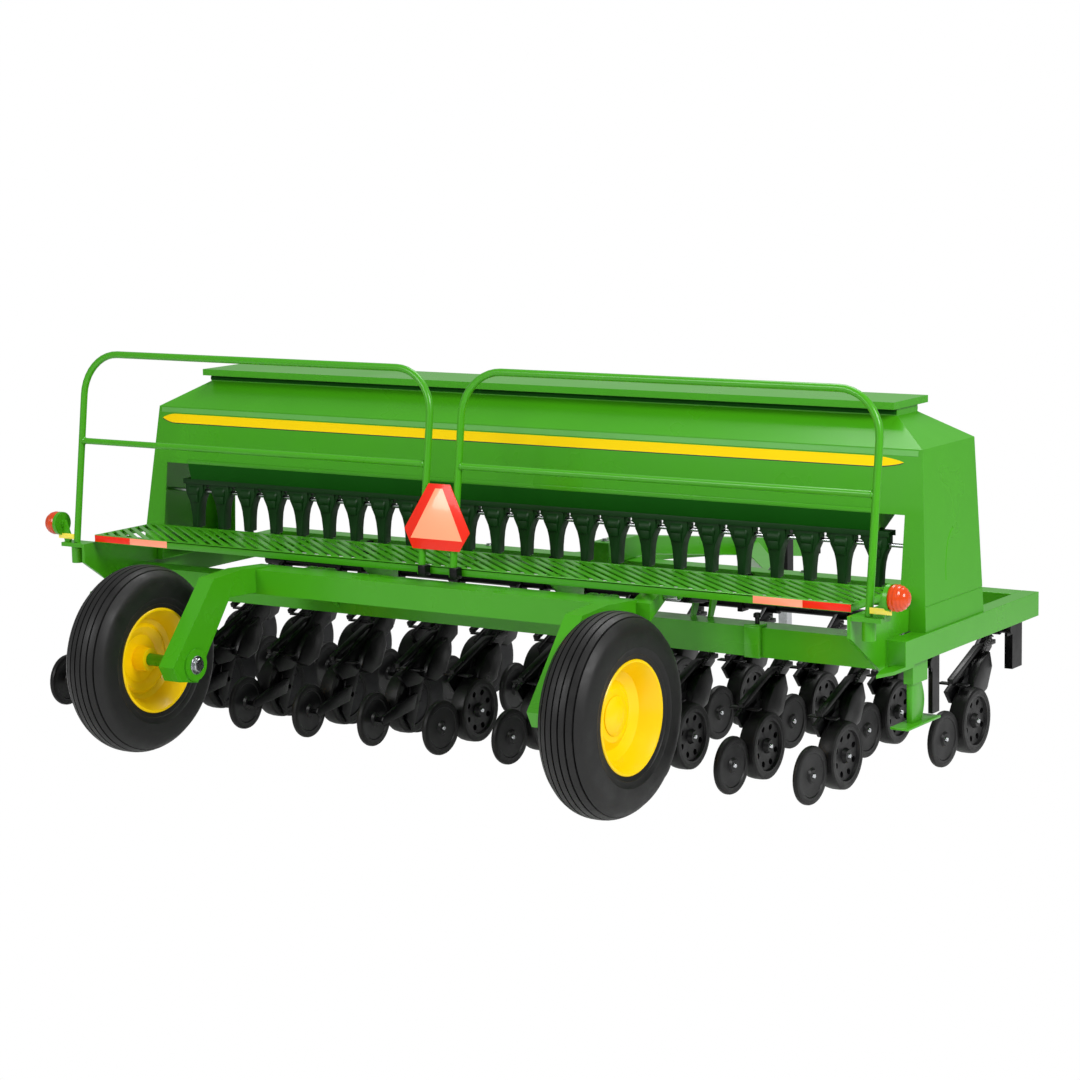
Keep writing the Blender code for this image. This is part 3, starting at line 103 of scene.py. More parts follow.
def add_node(tree: bpy.types.NodeTree, kind: str, settings: dict | None = None, inputs: dict | None = None,
             ) -> bpy.types.Node:
    """Add a node with its settings and its inputs.

    Args:
        tree: The node tree.
        kind: The node's type name.
        settings: Properties of the node.
        inputs: Values or output sockets, by input name or index.

    Returns:
        The new node.
    """
    node = tree.nodes.new(kind)
    for name, value in (settings or {}).items():
        setattr(node, name, value)
    for name, value in (inputs or {}).items():
        if isinstance(value, bpy.types.NodeSocket):
            tree.links.new(value, node.inputs[name])
        else:
            node.inputs[name].default_value = value
    return node


@dataclass(frozen=True)
class Finish:
    """A surface with an even colour, a slow mottle and a fine grain.

    The mottle changes the colour by a few percent over tens of centimetres, as on a sprayed or moulded
    surface, and the grain is the surface's own texture. Sizes are in millimetres on the machine.
    """

    name: str
    colour: str
    shade: str
    roughness: float
    roughness_swing: float = 0.05
    metallic: float = 0.0
    coat: float = 0.0
    coat_roughness: float = 0.1
    specular: float = 0.5
    mottle_mm: float = 400.0
    grain_mm: float = 6.0
    grain_depth: float = 0.0002
    stretch: tuple[float, float, float] = (1.0, 1.0, 1.0)
    glow: float = 0.0

    def build(self) -> bpy.types.Material:
        """Return this finish's material, made the first time it is asked for."""
        found = bpy.data.materials.get(self.name)
        if found:
            return found
        made = bpy.data.materials.new(self.name)
        made.use_nodes = True
        tree = made.node_tree
        shader = tree.nodes["Principled BSDF"]
        shader.inputs["Metallic"].default_value = self.metallic
        shader.inputs["Coat Weight"].default_value = self.coat
        shader.inputs["Coat Roughness"].default_value = self.coat_roughness
        shader.inputs["Specular IOR Level"].default_value = self.specular
        place = add_node(tree, "ShaderNodeTexCoord").outputs["Object"]
        scaled = add_node(tree, "ShaderNodeMapping", inputs={"Vector": place, "Scale": self.stretch})
        self.paint(tree, shader, scaled.outputs["Vector"])
        return made

    def paint(self, tree: bpy.types.NodeTree, shader: bpy.types.Node, place: bpy.types.NodeSocket) -> None:
        """Link the mottle and the grain into the shader.

        Args:
            tree: The material's node tree.
            shader: The material's Principled shader.
            place: The vector that the patterns read.
        """
        mottle = add_node(tree, "ShaderNodeTexNoise", inputs={
            "Vector": place, "Scale": 1000.0 / self.mottle_mm, "Detail": 3.0, "Roughness": 0.55})
        mix = add_node(tree, "ShaderNodeMix", {"data_type": "RGBA"}, {0: mottle.outputs["Fac"]})
        mix.inputs[6].default_value = linear(self.colour)
        mix.inputs[7].default_value = linear(self.shade)
        tree.links.new(mix.outputs[2], shader.inputs["Base Color"])
        swing = add_node(tree, "ShaderNodeMapRange", inputs={
            "Value": mottle.outputs["Fac"], "From Min": 0.3, "From Max": 0.7,
            "To Min": self.roughness - self.roughness_swing, "To Max": self.roughness + self.roughness_swing})
        tree.links.new(swing.outputs["Result"], shader.inputs["Roughness"])
        grain = add_node(tree, "ShaderNodeTexNoise", inputs={
            "Vector": place, "Scale": 1000.0 / self.grain_mm, "Detail": 2.0})
        bump = add_node(tree, "ShaderNodeBump", inputs={
            "Height": grain.outputs["Fac"], "Distance": self.grain_depth, "Strength": 0.6})
        tree.links.new(bump.outputs["Normal"], shader.inputs["Normal"])
        # Painted glow: the surface gives off light in its own colour, though it is no lamp.
        if self.glow:
            tree.links.new(mix.outputs[2], shader.inputs["Emission Color"])
            shader.inputs["Emission Strength"].default_value = self.glow


@dataclass(frozen=True)
class PrismFilm(Finish):
    """Retroreflective film: a grid of small cells, sealed edges between them, under a clear face."""

    cell_mm: float = 14.0

    def paint(self, tree: bpy.types.NodeTree, shader: bpy.types.Node, place: bpy.types.NodeSocket) -> None:
        """Link the cells over the mottle and grain.

        Args:
            tree: The material's node tree.
            shader: The material's Principled shader.
            place: The vector that the patterns read.
        """
        super().paint(tree, shader, place)
        cells = add_node(tree, "ShaderNodeTexVoronoi", {"feature": "DISTANCE_TO_EDGE"}, {
            "Vector": place, "Scale": 1000.0 / self.cell_mm, "Randomness": 0.0})
        ridge = add_node(tree, "ShaderNodeBump", inputs={
            "Height": cells.outputs["Distance"], "Distance": 0.0006, "Strength": 0.5})
        tree.links.new(ridge.outputs["Normal"], shader.inputs["Normal"])


# Sprayed alkyd enamel on steel sheet and tube: a clear even green with a soft gloss and faint orange peel.
# The peel is 2 mm on the real sheet, and is drawn at 9 mm so that it shows.
GREEN_ENAMEL = Finish("green alkyd enamel", "429C12", "3C930E", 0.30, coat=0.15, coat_roughness=0.16,
                      specular=0.3, grain_mm=9.0)
# The same enamel, darker and duller as painted shade, on the folded inner faces, the neck's beads and under
# the box.
SHADED_GREEN = Finish("green alkyd enamel, unpolished", "0C5006", "094404", 0.6, specular=0.08, grain_mm=9.0)
# The same enamel along the ridge fold in a paler green: a painted highlight where the fold catches the light.
FOLD_HIGHLIGHT_GREEN = Finish("green alkyd enamel, chalked along the fold", "62AE4C", "4FA03A", 0.42, coat=0.1,
                    grain_mm=9.0)
# Thin dark green paint on the sand-cast seed cups, with the casting's grain through it.
CUP_IRON = Finish("dark green dip paint on cast iron", "0B380C", "082C09", 0.45, specular=0.2, mottle_mm=60.0,
                  grain_mm=4.0, grain_depth=0.0005)
# Two-pack enamel on pressed wheel discs: warm yellow with a soft gloss.
YELLOW_ENAMEL = Finish("yellow wheel enamel", "F6CE00", "F2C600", 0.34, coat=0.12, coat_roughness=0.12,
                       specular=0.25, grain_mm=8.0)
# Cut vinyl stripe: even yellow, low gloss, no peel.
STRIPE_VINYL = Finish("yellow stripe vinyl", "FAD400", "F6CE00", 0.5, specular=0.1, grain_mm=4.0,
                      grain_depth=0.00005)
# Painted shadow under the stripe's lower edge: a green so dark that it reads as black.
STRIPE_EDGE = Finish("black stripe vinyl", "14261A", "102016", 0.45, grain_mm=4.0, grain_depth=0.00005)
# Natural rubber, moulded: near black, with a dry bloom that lightens it in patches.
TYRE_RUBBER = Finish("moulded tyre rubber", "0E0E0E", "151515", 0.5, specular=0.35, roughness_swing=0.08,
                     mottle_mm=90.0, grain_mm=5.0, grain_depth=0.0006)
# Rubber bands of the small wheels: blacker and smoother than the transport tyres.
BAND_RUBBER = Finish("press wheel rubber", "070707", "0C0C0C", 0.45, specular=0.25, roughness_swing=0.08,
                     mottle_mm=60.0, grain_mm=4.0, grain_depth=0.0004)
# Glass-filled nylon wheel discs: near black with a moulded sheen.
NYLON_WHEEL = Finish("glass-filled nylon", "09090A", "0F0F10", 0.40, specular=0.25, roughness_swing=0.06,
                     mottle_mm=70.0, grain_mm=3.0, grain_depth=0.0003)
# Dipped black paint on forged and cast opener parts: satin, with the casting's grain through it.
BLACK_PAINT = Finish("black dip paint on castings", "030304", "070708", 0.34, specular=0.25,
                     roughness_swing=0.08, mottle_mm=120.0, grain_mm=5.0, grain_depth=0.0007)
# Hardened disc blade: dark scale with a ground edge, so it is metallic but not bright.
BLADE_STEEL = Finish("rolled boron steel", "2E2E30", "242426", 0.42, metallic=0.8, mottle_mm=60.0,
                     grain_mm=3.0)
# Electroplated zinc on shafts and bolts: bright, slightly blue, drawn along its length.
ZINC_PLATE = Finish("bright zinc plate", "C9CBCE", "B4B6BA", 0.26, metallic=1.0, mottle_mm=80.0, grain_mm=4.0,
                    stretch=(0.1, 1.0, 1.0))
# Moulded acrylic lens: deep amber and glossy.
AMBER_LENS = Finish("amber acrylic lens", "D24408", "C43C06", 0.22, coat=0.3, coat_roughness=0.08,
                    specular=0.3, grain_mm=5.0)
# Fluorescent film of the sign's middle: pale orange with a painted glow, so that it seems lit by itself.
FLUORESCENT_FILM = PrismFilm("fluorescent orange film", "FF9C74", "FF946A", 0.35, coat=0.5, glow=0.25,
                             cell_mm=20.0)
# Retroreflective films of the sign's border, the marker tapes and the edge reflectors, each with a faint
# painted glow.
RED_FILM = PrismFilm("red retroreflective film", "EA2A12", "E02410", 0.3, coat=0.2, specular=0.2, glow=0.08)
PALE_FILM = PrismFilm("pale amber retroreflective film", "FF9A78", "FF9270", 0.3, coat=0.6, glow=0.12)
YELLOW_FILM = PrismFilm("yellow retroreflective film", "F2E14C", "EAD840", 0.3, coat=0.6, glow=0.1)

FINISH_OF_SLOT = {
    "green_paint": GREEN_ENAMEL, "yellow_paint": YELLOW_ENAMEL, "black_paint": BLACK_PAINT,
    "tyre_rubber": TYRE_RUBBER, "zinc_steel": ZINC_PLATE, "amber_lens": AMBER_LENS, "signal_film": RED_FILM,
}


# ---- Shop tools -------------------------------------------------------------------------------
class Bench:
    """The modelling steps that the sub-assemblies share."""

    @staticmethod
    def clear() -> None:
        """Deselect everything."""
        bpy.ops.object.select_all(action="DESELECT")

    @staticmethod
    def only(piece: bpy.types.Object) -> bpy.types.Object:
        """Select one piece and make it active."""
        Bench.clear()
        piece.select_set(True)
        bpy.context.view_layer.objects.active = piece
        return piece

    @staticmethod
    def named(name: str) -> bpy.types.Object:
        """Name the active object and its mesh."""
        piece = bpy.context.object
        piece.name = name
        piece.data.name = name
        return piece

    @staticmethod
    def ring(name: str, points: Sequence[Point], filled: bool = True) -> bpy.types.Object:
        """Make a closed outline from a circle with as many corners.

        Args:
            name: The piece's name.
            points: The outline's corners, in order.
            filled: Whether the outline is one face.

        Returns:
            The new piece.
        """
        Bench.clear()
        bpy.ops.mesh.primitive_circle_add(vertices=len(points), fill_type="NGON" if filled else "NOTHING")
        piece = Bench.named(name)
        for vertex, point in zip(piece.data.vertices, points):
            vertex.co = point
        return piece

    @staticmethod
    def edit(piece: bpy.types.Object, *steps: Callable[[], object]) -> bpy.types.Object:
        """Run steps in edit mode with all of the piece selected, and turn its faces outwards.

        Args:
            piece: The piece.
            steps: Calls to make, each with everything selected.

        Returns:
            The piece.
        """
        Bench.only(piece)
        bpy.ops.object.mode_set(mode="EDIT")
        for step in steps:
            bpy.ops.mesh.select_all(action="SELECT")
            step()
        bpy.ops.mesh.select_all(action="SELECT")
        bpy.ops.mesh.normals_make_consistent(inside=False)
        bpy.ops.object.mode_set(mode="OBJECT")
        return piece

    @staticmethod
    def apply(piece: bpy.types.Object, kind: str, **settings: object) -> bpy.types.Object:
        """Add a modifier and apply it.

        Args:
            piece: The piece.
            kind: The modifier's type.
            settings: The modifier's settings.

        Returns:
            The piece.
        """
        Bench.only(piece)
        modifier = piece.modifiers.new(kind.lower(), kind)
        for name, value in settings.items():
            setattr(modifier, name, value)
        bpy.ops.object.modifier_apply(modifier=modifier.name)
        return piece

    @staticmethod
    def soften(piece: bpy.types.Object, width: float, segments: int = 2, angle: float = 35.0,
               ) -> bpy.types.Object:
        """Round a piece's edges and shade it smooth.

        Args:
            piece: The piece.
            width: The bevel's width, or 0 to shade only.
            segments: The bevel's segments.
            angle: The smallest angle that counts as an edge, in degrees.

        Returns:
            The piece.
        """
        if width:
            Bench.apply(piece, "BEVEL", width=width, segments=segments, limit_method="ANGLE",
                        angle_limit=math.radians(angle), use_clamp_overlap=True)
        Bench.only(piece)
        bpy.ops.object.shade_smooth_by_angle(angle=math.radians(angle))
        return piece

    @staticmethod
    def settle(piece: bpy.types.Object) -> bpy.types.Object:
        """Weight a piece's normals by face area, so that its large faces stay flat beside rounded edges."""
        return Bench.apply(piece, "WEIGHTED_NORMAL", mode="FACE_AREA", weight=50, keep_sharp=True)

    @staticmethod
    def plate(name: str, outline: Sequence[Pair], axis: Axis, low: float, high: float, bevel: float = 0.0,
              ) -> bpy.types.Object:
        """Extrude an outline along an axis.

        Args:
            name: The piece's name.
            outline: Corners in the other two axes, in their order.
            axis: The axis to extrude along.
            low: The first face's place on the axis.
            high: The other face's place.
            bevel: How much its edges are rounded.

        Returns:
            The new piece.
        """
        def corner(pair: Pair) -> Point:
            """Put the axis's own value among the outline's two."""
            values = list(pair)
            values.insert(axis.value, low)
            return (values[0], values[1], values[2])

        shift = [0.0, 0.0, 0.0]
        shift[axis.value] = high - low
        piece = Bench.ring(name, [corner(pair) for pair in outline])
        Bench.edit(piece, lambda: bpy.ops.mesh.extrude_region_move(TRANSFORM_OT_translate={"value": shift}))
        return Bench.soften(piece, bevel) if bevel else piece

    @staticmethod
    def block(name: str, low: Point, high: Point, bevel: float = 0.0) -> bpy.types.Object:
        """A rectangular block between two corners, with rounded edges."""
        outline = [(low[0], low[1]), (high[0], low[1]), (high[0], high[1]), (low[0], high[1])]
        return Bench.plate(name, outline, Axis.Z, low[2], high[2], bevel)

    @staticmethod
    def lathe(name: str, profile: Sequence[Pair], centre: Point, steps: int = 48, angle: float = 30.0,
              ) -> bpy.types.Object:
        """Spin a closed outline about an axis along X.

        Args:
            name: The piece's name.
            profile: Corners as distance along X from the centre and radius.
            centre: A point on the axis.
            steps: Steps in a full turn.
            angle: The smallest angle that is shaded as an edge, in degrees.

        Returns:
            The new piece.
        """
        piece = Bench.ring(name, [(centre[0] + along, centre[1], centre[2] + max(radius, 0.00002))
                                  for along, radius in profile], filled=False)
        Bench.edit(piece,
                   lambda: bpy.ops.mesh.spin(steps=steps, angle=math.tau, center=centre, axis=(1, 0, 0)),
                   lambda: bpy.ops.mesh.remove_doubles(threshold=0.00005))
        return Bench.soften(piece, 0.0, angle=angle)

    @staticmethod
    def pin(name: str, start: Point, end: Point, radius: float, sides: int = 16, chamfer: float = 0.0015,
            ) -> bpy.types.Object:
        """A round bar with chamfered ends.

        Args:
            name: The piece's name.
            start: The middle of one end.
            end: The middle of the other end.
            radius: The bar's radius.
            sides: Sides of the bar.
            chamfer: Width of the chamfer.

        Returns:
            The new piece.
        """
        a, b = Vector(start), Vector(end)
        Bench.clear()
        turn = (b - a).to_track_quat("Z", "Y")
        bpy.ops.mesh.primitive_cylinder_add(vertices=sides, radius=radius, depth=(b - a).length)
        piece = Bench.named(name)
        piece.data.transform(Matrix.Translation((a + b) / 2) @ turn.to_matrix().to_4x4())
        return Bench.soften(piece, chamfer, segments=1)

    @staticmethod
    def pipe(name: str, points: Sequence[Point], radius: float, resolution: int = 3) -> bpy.types.Object:
        """A round tube along a path, with closed ends.

        Args:
            name: The piece's name.
            points: Points on the middle of the tube.
            radius: The tube's radius.
            resolution: The curve's bevel resolution.

        Returns:
            The new piece, as a mesh.
        """
        curve = bpy.data.curves.new(name, "CURVE")
        curve.dimensions = "3D"
        curve.bevel_depth = radius
        curve.bevel_resolution = resolution
        curve.use_fill_caps = True
        spline = curve.splines.new("POLY")
        spline.points.add(len(points) - 1)
        for place, point in zip(spline.points, points):
            place.co = (*point, 1.0)
        piece = bpy.data.objects.new(name, curve)
        bpy.context.scene.collection.objects.link(piece)
        Bench.only(piece)
        bpy.ops.object.convert(target="MESH")
        piece = Bench.named(name)
        return Bench.soften(piece, 0.0, angle=40.0)

    @staticmethod
    def cut(piece: bpy.types.Object, *cutters: bpy.types.Object) -> bpy.types.Object:
        """Take cutters out of a piece, and throw them away.

        Args:
            piece: The piece.
            cutters: What to cut out of it.

        Returns:
            The piece.
        """
        for cutter in cutters:
            Bench.apply(piece, "BOOLEAN", operation="DIFFERENCE", solver="EXACT", object=cutter)
            bpy.data.objects.remove(cutter)
        return piece

    @staticmethod
    def join(name: str, *parts: bpy.types.Object) -> bpy.types.Object:
        """Join pieces into one object.

        Args:
            name: The new piece's name.
            parts: The pieces; the first is kept.

        Returns:
            The joined piece.
        """
        Bench.only(parts[0])
        for part in parts:
            part.select_set(True)
        bpy.ops.object.join()
        return Bench.named(name)

    @staticmethod
    def copy(piece: bpy.types.Object, name: str, matrix: Matrix) -> bpy.types.Object:
        """Copy a piece with its own mesh to another place.

        Args:
            piece: The piece.
            name: The copy's name.
            matrix: What to do to the copy's mesh. A mirror turns its faces back outwards.

        Returns:
            The copy.
        """
        made = bpy.data.objects.new(name, piece.data.copy())
        made.data.name = name
        made.data.transform(matrix)
        if matrix.determinant() < 0:
            made.data.flip_normals()
        bpy.context.scene.collection.objects.link(made)
        return made

    @staticmethod
    def skin(node: str, bevel: float) -> bpy.types.Object:
        """Copy a CAD node's solid, merge it and round its edges.

        Args:
            node: The node's name.
            bevel: The edges' rounding.

        Returns:
            The new piece, which stands for the node.
        """
        made = bpy.data.objects.new(node + "_finished", frame["nodes"][node].data.copy())
        bpy.context.scene.collection.objects.link(made)
        Bench.edit(made, lambda: bpy.ops.mesh.remove_doubles(threshold=0.00002),
                   lambda: bpy.ops.mesh.dissolve_limited(angle_limit=math.radians(0.5)))
        Bench.soften(made, bevel)
        Bench.settle(made)
        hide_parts(node)
        return made

    @staticmethod
    def dress(piece: bpy.types.Object, finish: Finish, body: str, slot: str) -> bpy.types.Object:
        """Give a piece its finish and its body.

        Args:
            piece: The piece.
            finish: Its finish.
            body: The body that it rides on.
            slot: The record's slot. Not used.

        Returns:
            The piece.
        """
        piece.data.materials.clear()
        piece.data.materials.append(finish.build())
        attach(piece, body)
        return piece

    @staticmethod
    def paint(piece: bpy.types.Object, finish: Finish) -> bpy.types.Object:
        """Give a piece its finish alone, before it is joined to others."""
        piece.data.materials.clear()
        piece.data.materials.append(finish.build())
        return piece

    @staticmethod
    def mount(piece: bpy.types.Object, body: str, slot: str) -> None:
        """Put a piece that already has its finishes on its body."""
        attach(piece, body)


def arc(centre: Pair, radius: float, start: float, end: float, steps: int) -> list[Pair]:
    """Points on an arc.

    Args:
        centre: The arc's centre.
        radius: The arc's radius.
        start: The first point's angle in degrees.
        end: The last point's angle in degrees.
        steps: Number of steps between them.

    Returns:
        The points, ends included.
    """
    angles = [math.radians(start + (end - start) * step / steps) for step in range(steps + 1)]
    return [(centre[0] + radius * math.cos(angle), centre[1] + radius * math.sin(angle)) for angle in angles]


# ---- Studio -----------------------------------------------------------------------------------
@dataclass
class Studio:
    """Camera, floor and lamps. The floor lies below the wheels' lowest place, so that it never cuts them."""

    eye: Point = (8.607, -13.4385, 3.448)
    heading: float = 33.641
    dip: float = 8.934
    roll: float = -1.116
    lens: float = 96.1
    floor_size: float = 120.0
    floor_level: float = -0.45
    sky_strength: float = 0.36
    lamps: tuple[tuple[str, Point, Point, float, float], ...] = (
        ("key_lamp", (9.5, -4.0, 7.5), (0.5, 0, 0.8), 4.0, 960.0),
        ("rear_lamp", (-3.5, -11.0, 6.5), (0, 0, 0.9), 4.5, 560.0),
        ("top_lamp", (0.0, 3.0, 9.0), (0, -0.5, 1.0), 5.0, 520.0))

    def camera(self) -> None:
        """Set up the camera."""
        data = bpy.data.cameras.new("studio_camera")
        data.lens, data.sensor_width, data.clip_end = self.lens, 36.0, 200.0
        camera = bpy.data.objects.new("studio_camera", data)
        turn = (Matrix.Rotation(math.radians(self.heading), 4, "Z")
                @ Matrix.Rotation(math.radians(90 - self.dip), 4, "X")
                @ Matrix.Rotation(math.radians(self.roll), 4, "Z"))
        camera.matrix_world = Matrix.Translation(self.eye) @ turn
        bpy.context.scene.collection.objects.link(camera)
        bpy.context.scene.camera = camera
        bpy.context.scene.view_settings.view_transform = "Standard"

    def floor(self) -> None:
        """Make the floor, which is white to the camera and matt to everything else."""
        Bench.clear()
        bpy.ops.mesh.primitive_plane_add(size=self.floor_size, location=(0, 0, 0))
        floor = Bench.named("studio_floor")
        floor.data.transform(Matrix.Translation((0, 0, self.floor_level)))
        made = bpy.data.materials.new("matt white studio floor")
        made.use_nodes = True
        tree = made.node_tree
        shader = tree.nodes["Principled BSDF"]
        shader.inputs["Base Color"].default_value = linear("F4F4F4")
        shader.inputs["Roughness"].default_value = 0.9
        glow = add_node(tree, "ShaderNodeEmission", inputs={"Color": (1, 1, 1, 1), "Strength": 1.0})
        rays = add_node(tree, "ShaderNodeLightPath")
        mix = add_node(tree, "ShaderNodeMixShader", inputs={
            0: rays.outputs["Is Camera Ray"], 1: shader.outputs["BSDF"], 2: glow.outputs["Emission"]})
        tree.links.new(mix.outputs["Shader"], tree.nodes["Material Output"].inputs["Surface"])
        floor.data.materials.append(made)

    def lamp(self, name: str, place: Point, aim: Point, size: float, watts: float) -> None:
        """Hang a soft square lamp.

        Args:
            name: The lamp's name.
            place: Where it hangs.
            aim: What it points at.
            size: Its side.
            watts: Its power.
        """
        data = bpy.data.lights.new(name, "AREA")
        data.shape, data.size, data.energy = "SQUARE", size, watts
        lamp = bpy.data.objects.new(name, data)
        turn = (Vector(aim) - Vector(place)).to_track_quat("-Z", "Y")
        lamp.matrix_world = Matrix.Translation(place) @ turn.to_matrix().to_4x4()
        bpy.context.scene.collection.objects.link(lamp)

    def light(self) -> None:
        """Light the room: a bright sky to the camera, a plain one to the machine, and three soft lamps."""
        world = bpy.data.worlds.new("studio_world")
        bpy.context.scene.world = world
        world.use_nodes = True
        tree = world.node_tree
        tree.nodes.clear()
        rays = add_node(tree, "ShaderNodeLightPath")
        seen = add_node(tree, "ShaderNodeMath", {"operation": "MAXIMUM"},
                        {0: rays.outputs["Is Camera Ray"], 1: rays.outputs["Is Transmission Ray"]})
        plain = add_node(tree, "ShaderNodeBackground",
                         inputs={"Color": (1, 1, 1, 1), "Strength": self.sky_strength})
        white = add_node(tree, "ShaderNodeBackground", inputs={"Color": (1, 1, 1, 1), "Strength": 1.0})
        mix = add_node(tree, "ShaderNodeMixShader", inputs={
            0: seen.outputs[0], 1: plain.outputs[0], 2: white.outputs[0]})
        out = add_node(tree, "ShaderNodeOutputWorld")
        tree.links.new(mix.outputs[0], out.inputs["Surface"])
        for name, place, aim, size, watts in self.lamps:
            self.lamp(name, place, aim, size, watts)


# ---- Frame and tongue -------------------------------------------------------------------------
@dataclass
class Chassis:
    """The welded and bolted structure, whose solids are kept with rounded edges."""

    edge: float = 0.005
    nodes: tuple[str, ...] = (
        "frame_rear_tube", "frame_front_tube", "side_rail_left", "side_rail_right", "tongue_beam",
        "tongue_brace_left", "tongue_brace_right", "hitch_clevis", "jack_tube", "jack_leg",
        "end_bracket_left", "end_bracket_right",
        "lift_beam", "lift_pivot_shaft", "lift_cylinder_barrel", "lift_cylinder_rod",
        "front_opener_shaft", "rear_opener_shaft", "meter_shaft")
    arm_inner_x: float = 1.10
    axle_seat: float = 0.0125
    rear_face_y: float = -1.154
    top_z: float = 0.781
    stand_leg: Pair = (0.030, 0.140)
    stand_foot: float = 0.014
    stand_waist: float = 0.030
    stand_bow: float = 0.190
    stand_neck: float = 0.200
    bow_steps: int = 8
    brace_foot_x: float = 1.05
    clamp_x: float = 1.695
    clamp_half: float = 0.045
    clamp_reach: float = 0.022
    clamp_foot_z: float = 0.628
    pin_profile: tuple[Pair, ...] = (
        (0, 0), (0, 0.012), (0.03, 0.012), (0.034, 0.02), (0.05, 0.02), (0.056, 0.012), (0.056, 0))

    def skins(self) -> None:
        """Round the edges of every structural solid and paint it."""
        for node in self.nodes:
            piece = Bench.skin(node, self.edge)
            Bench.dress(piece, FINISH_OF_SLOT[SLOT_OF[node]], BODY_OF[node], SLOT_OF[node])

    def bolt(self, name: str, place: Point, outward: Point, radius: float, height: float) -> bpy.types.Object:
        """A hexagon bolt head on its washer.

        Args:
            name: The piece's name.
            place: The middle of the washer's seat.
            outward: The direction that the head faces.
            radius: The head's corner radius.
            height: The head's height.

        Returns:
            The new piece.
        """
        way = Vector(outward).normalized()
        seat = Vector(place)
        face = seat + way * height * 0.25
        washer = Bench.pin(name + "_washer", seat, face, radius * 1.3, 20, height * 0.05)
        head = Bench.pin(name, face, seat + way * height, radius, 6, height * 0.12)
        return Bench.join(name, head, washer)

    def stand(self, side: Side) -> None:
        """A parking stand: a leg whose front edge is bowed between its foot and its sleeve, on its long foot.

        Args:
            side: Which stand.
        """
        node = f"parking_stand_{side.word}"
        low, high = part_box(node)
        foot_top = low.z + self.stand_foot
        middle_x, middle_y = (low.x + high.x) / 2, (low.y + high.y) / 2
        half_x, half_y = self.stand_leg[0] / 2, self.stand_leg[1] / 2
        back, front, waist, steps = middle_y - half_y, middle_y + half_y, self.stand_waist, self.bow_steps
        bow = [(front - waist * (1 - math.sin(math.pi * step / steps)),
                foot_top + self.stand_bow * step / steps) for step in range(1, steps)]
        shape = [(back, foot_top - 0.004), (front - waist, foot_top - 0.004), *bow,
                 (front - waist, foot_top + self.stand_bow), (front, foot_top + self.stand_neck),
                 (front, high.z), (back, high.z)]
        leg = Bench.plate("stand_leg", shape, Axis.X, middle_x - half_x, middle_x + half_x, 0.004)
        foot = Bench.block("stand_foot", (low.x, low.y, low.z), (high.x, high.y, foot_top), 0.004)
        piece = Bench.join(f"parking_stand_finished_{side.word}", leg, foot)
        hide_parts(node)
        Bench.dress(piece, GREEN_ENAMEL, BODY_OF[node], "green_paint")

    def clamp(self) -> None:
        """The clamp block on the rear tube, with the black pin that stands on it."""
        face, top, x = self.rear_face_y, self.top_z, self.clamp_x
        left, right, rear = x - self.clamp_half, x + self.clamp_half, face - self.clamp_reach
        jaw = Bench.block("stand_pipe_clamp", (left, rear, self.clamp_foot_z),
                          (right, face - 0.0004, top + 0.004), 0.004)
        cap = Bench.block("clamp_cap", (left, rear, top + 0.0004), (right, face + 0.06, top + 0.014), 0.004)
        Bench.dress(Bench.join("stand_pipe_clamp", jaw, cap), GREEN_ENAMEL, ROOT, "green_paint")
        stem = Bench.lathe("clamp_pin", self.pin_profile, (0, 0, 0), 20)
        stem.data.transform(Matrix.Translation((x + 0.01, face + 0.02, top + 0.014))
                            @ Matrix.Rotation(-math.pi / 2, 4, "Y"))
        Bench.dress(stem, BLACK_PAINT, ROOT, "black_paint")

    def bolts(self) -> None:
        """Bolt heads where the braces and the tongue are fastened to the front tube."""
        _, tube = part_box("frame_front_tube")
        seats = [(side.value * (self.brace_foot_x + 0.1 * step), tube.y - 0.03, tube.z)
                 for side in Side for step in (-1, 1)]
        heads = [self.bolt("brace_bolt", seat, (0, 0, 1), 0.016, 0.012) for seat in seats]
        rear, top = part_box("tongue_beam")
        heads += [self.bolt("tongue_bolt", (0.0, rear.y + 0.06 + 0.085 * step, top.z), (0, 0, 1), 0.018,
                            0.014) for step in range(3)]
        Bench.dress(Bench.join("toolbar_bolts", *heads), ZINC_PLATE, ROOT, "zinc_steel")

    def axle_caps(self) -> None:
        """The bright bolt head and washer on the inner end of each wheel's spindle."""
        for side in Side:
            centre = JOINTS[f"{side.word}_wheel_spin"]["pos_m"]
            inner = self.arm_inner_x - self.axle_seat
            place = (side.value * inner, centre[1], centre[2])
            head = self.bolt(f"axle_bolt_{side.word}", place, (-side.value, 0, 0), 0.038, 0.022)
            Bench.dress(head, ZINC_PLATE, "wheel_lift", "zinc_steel")


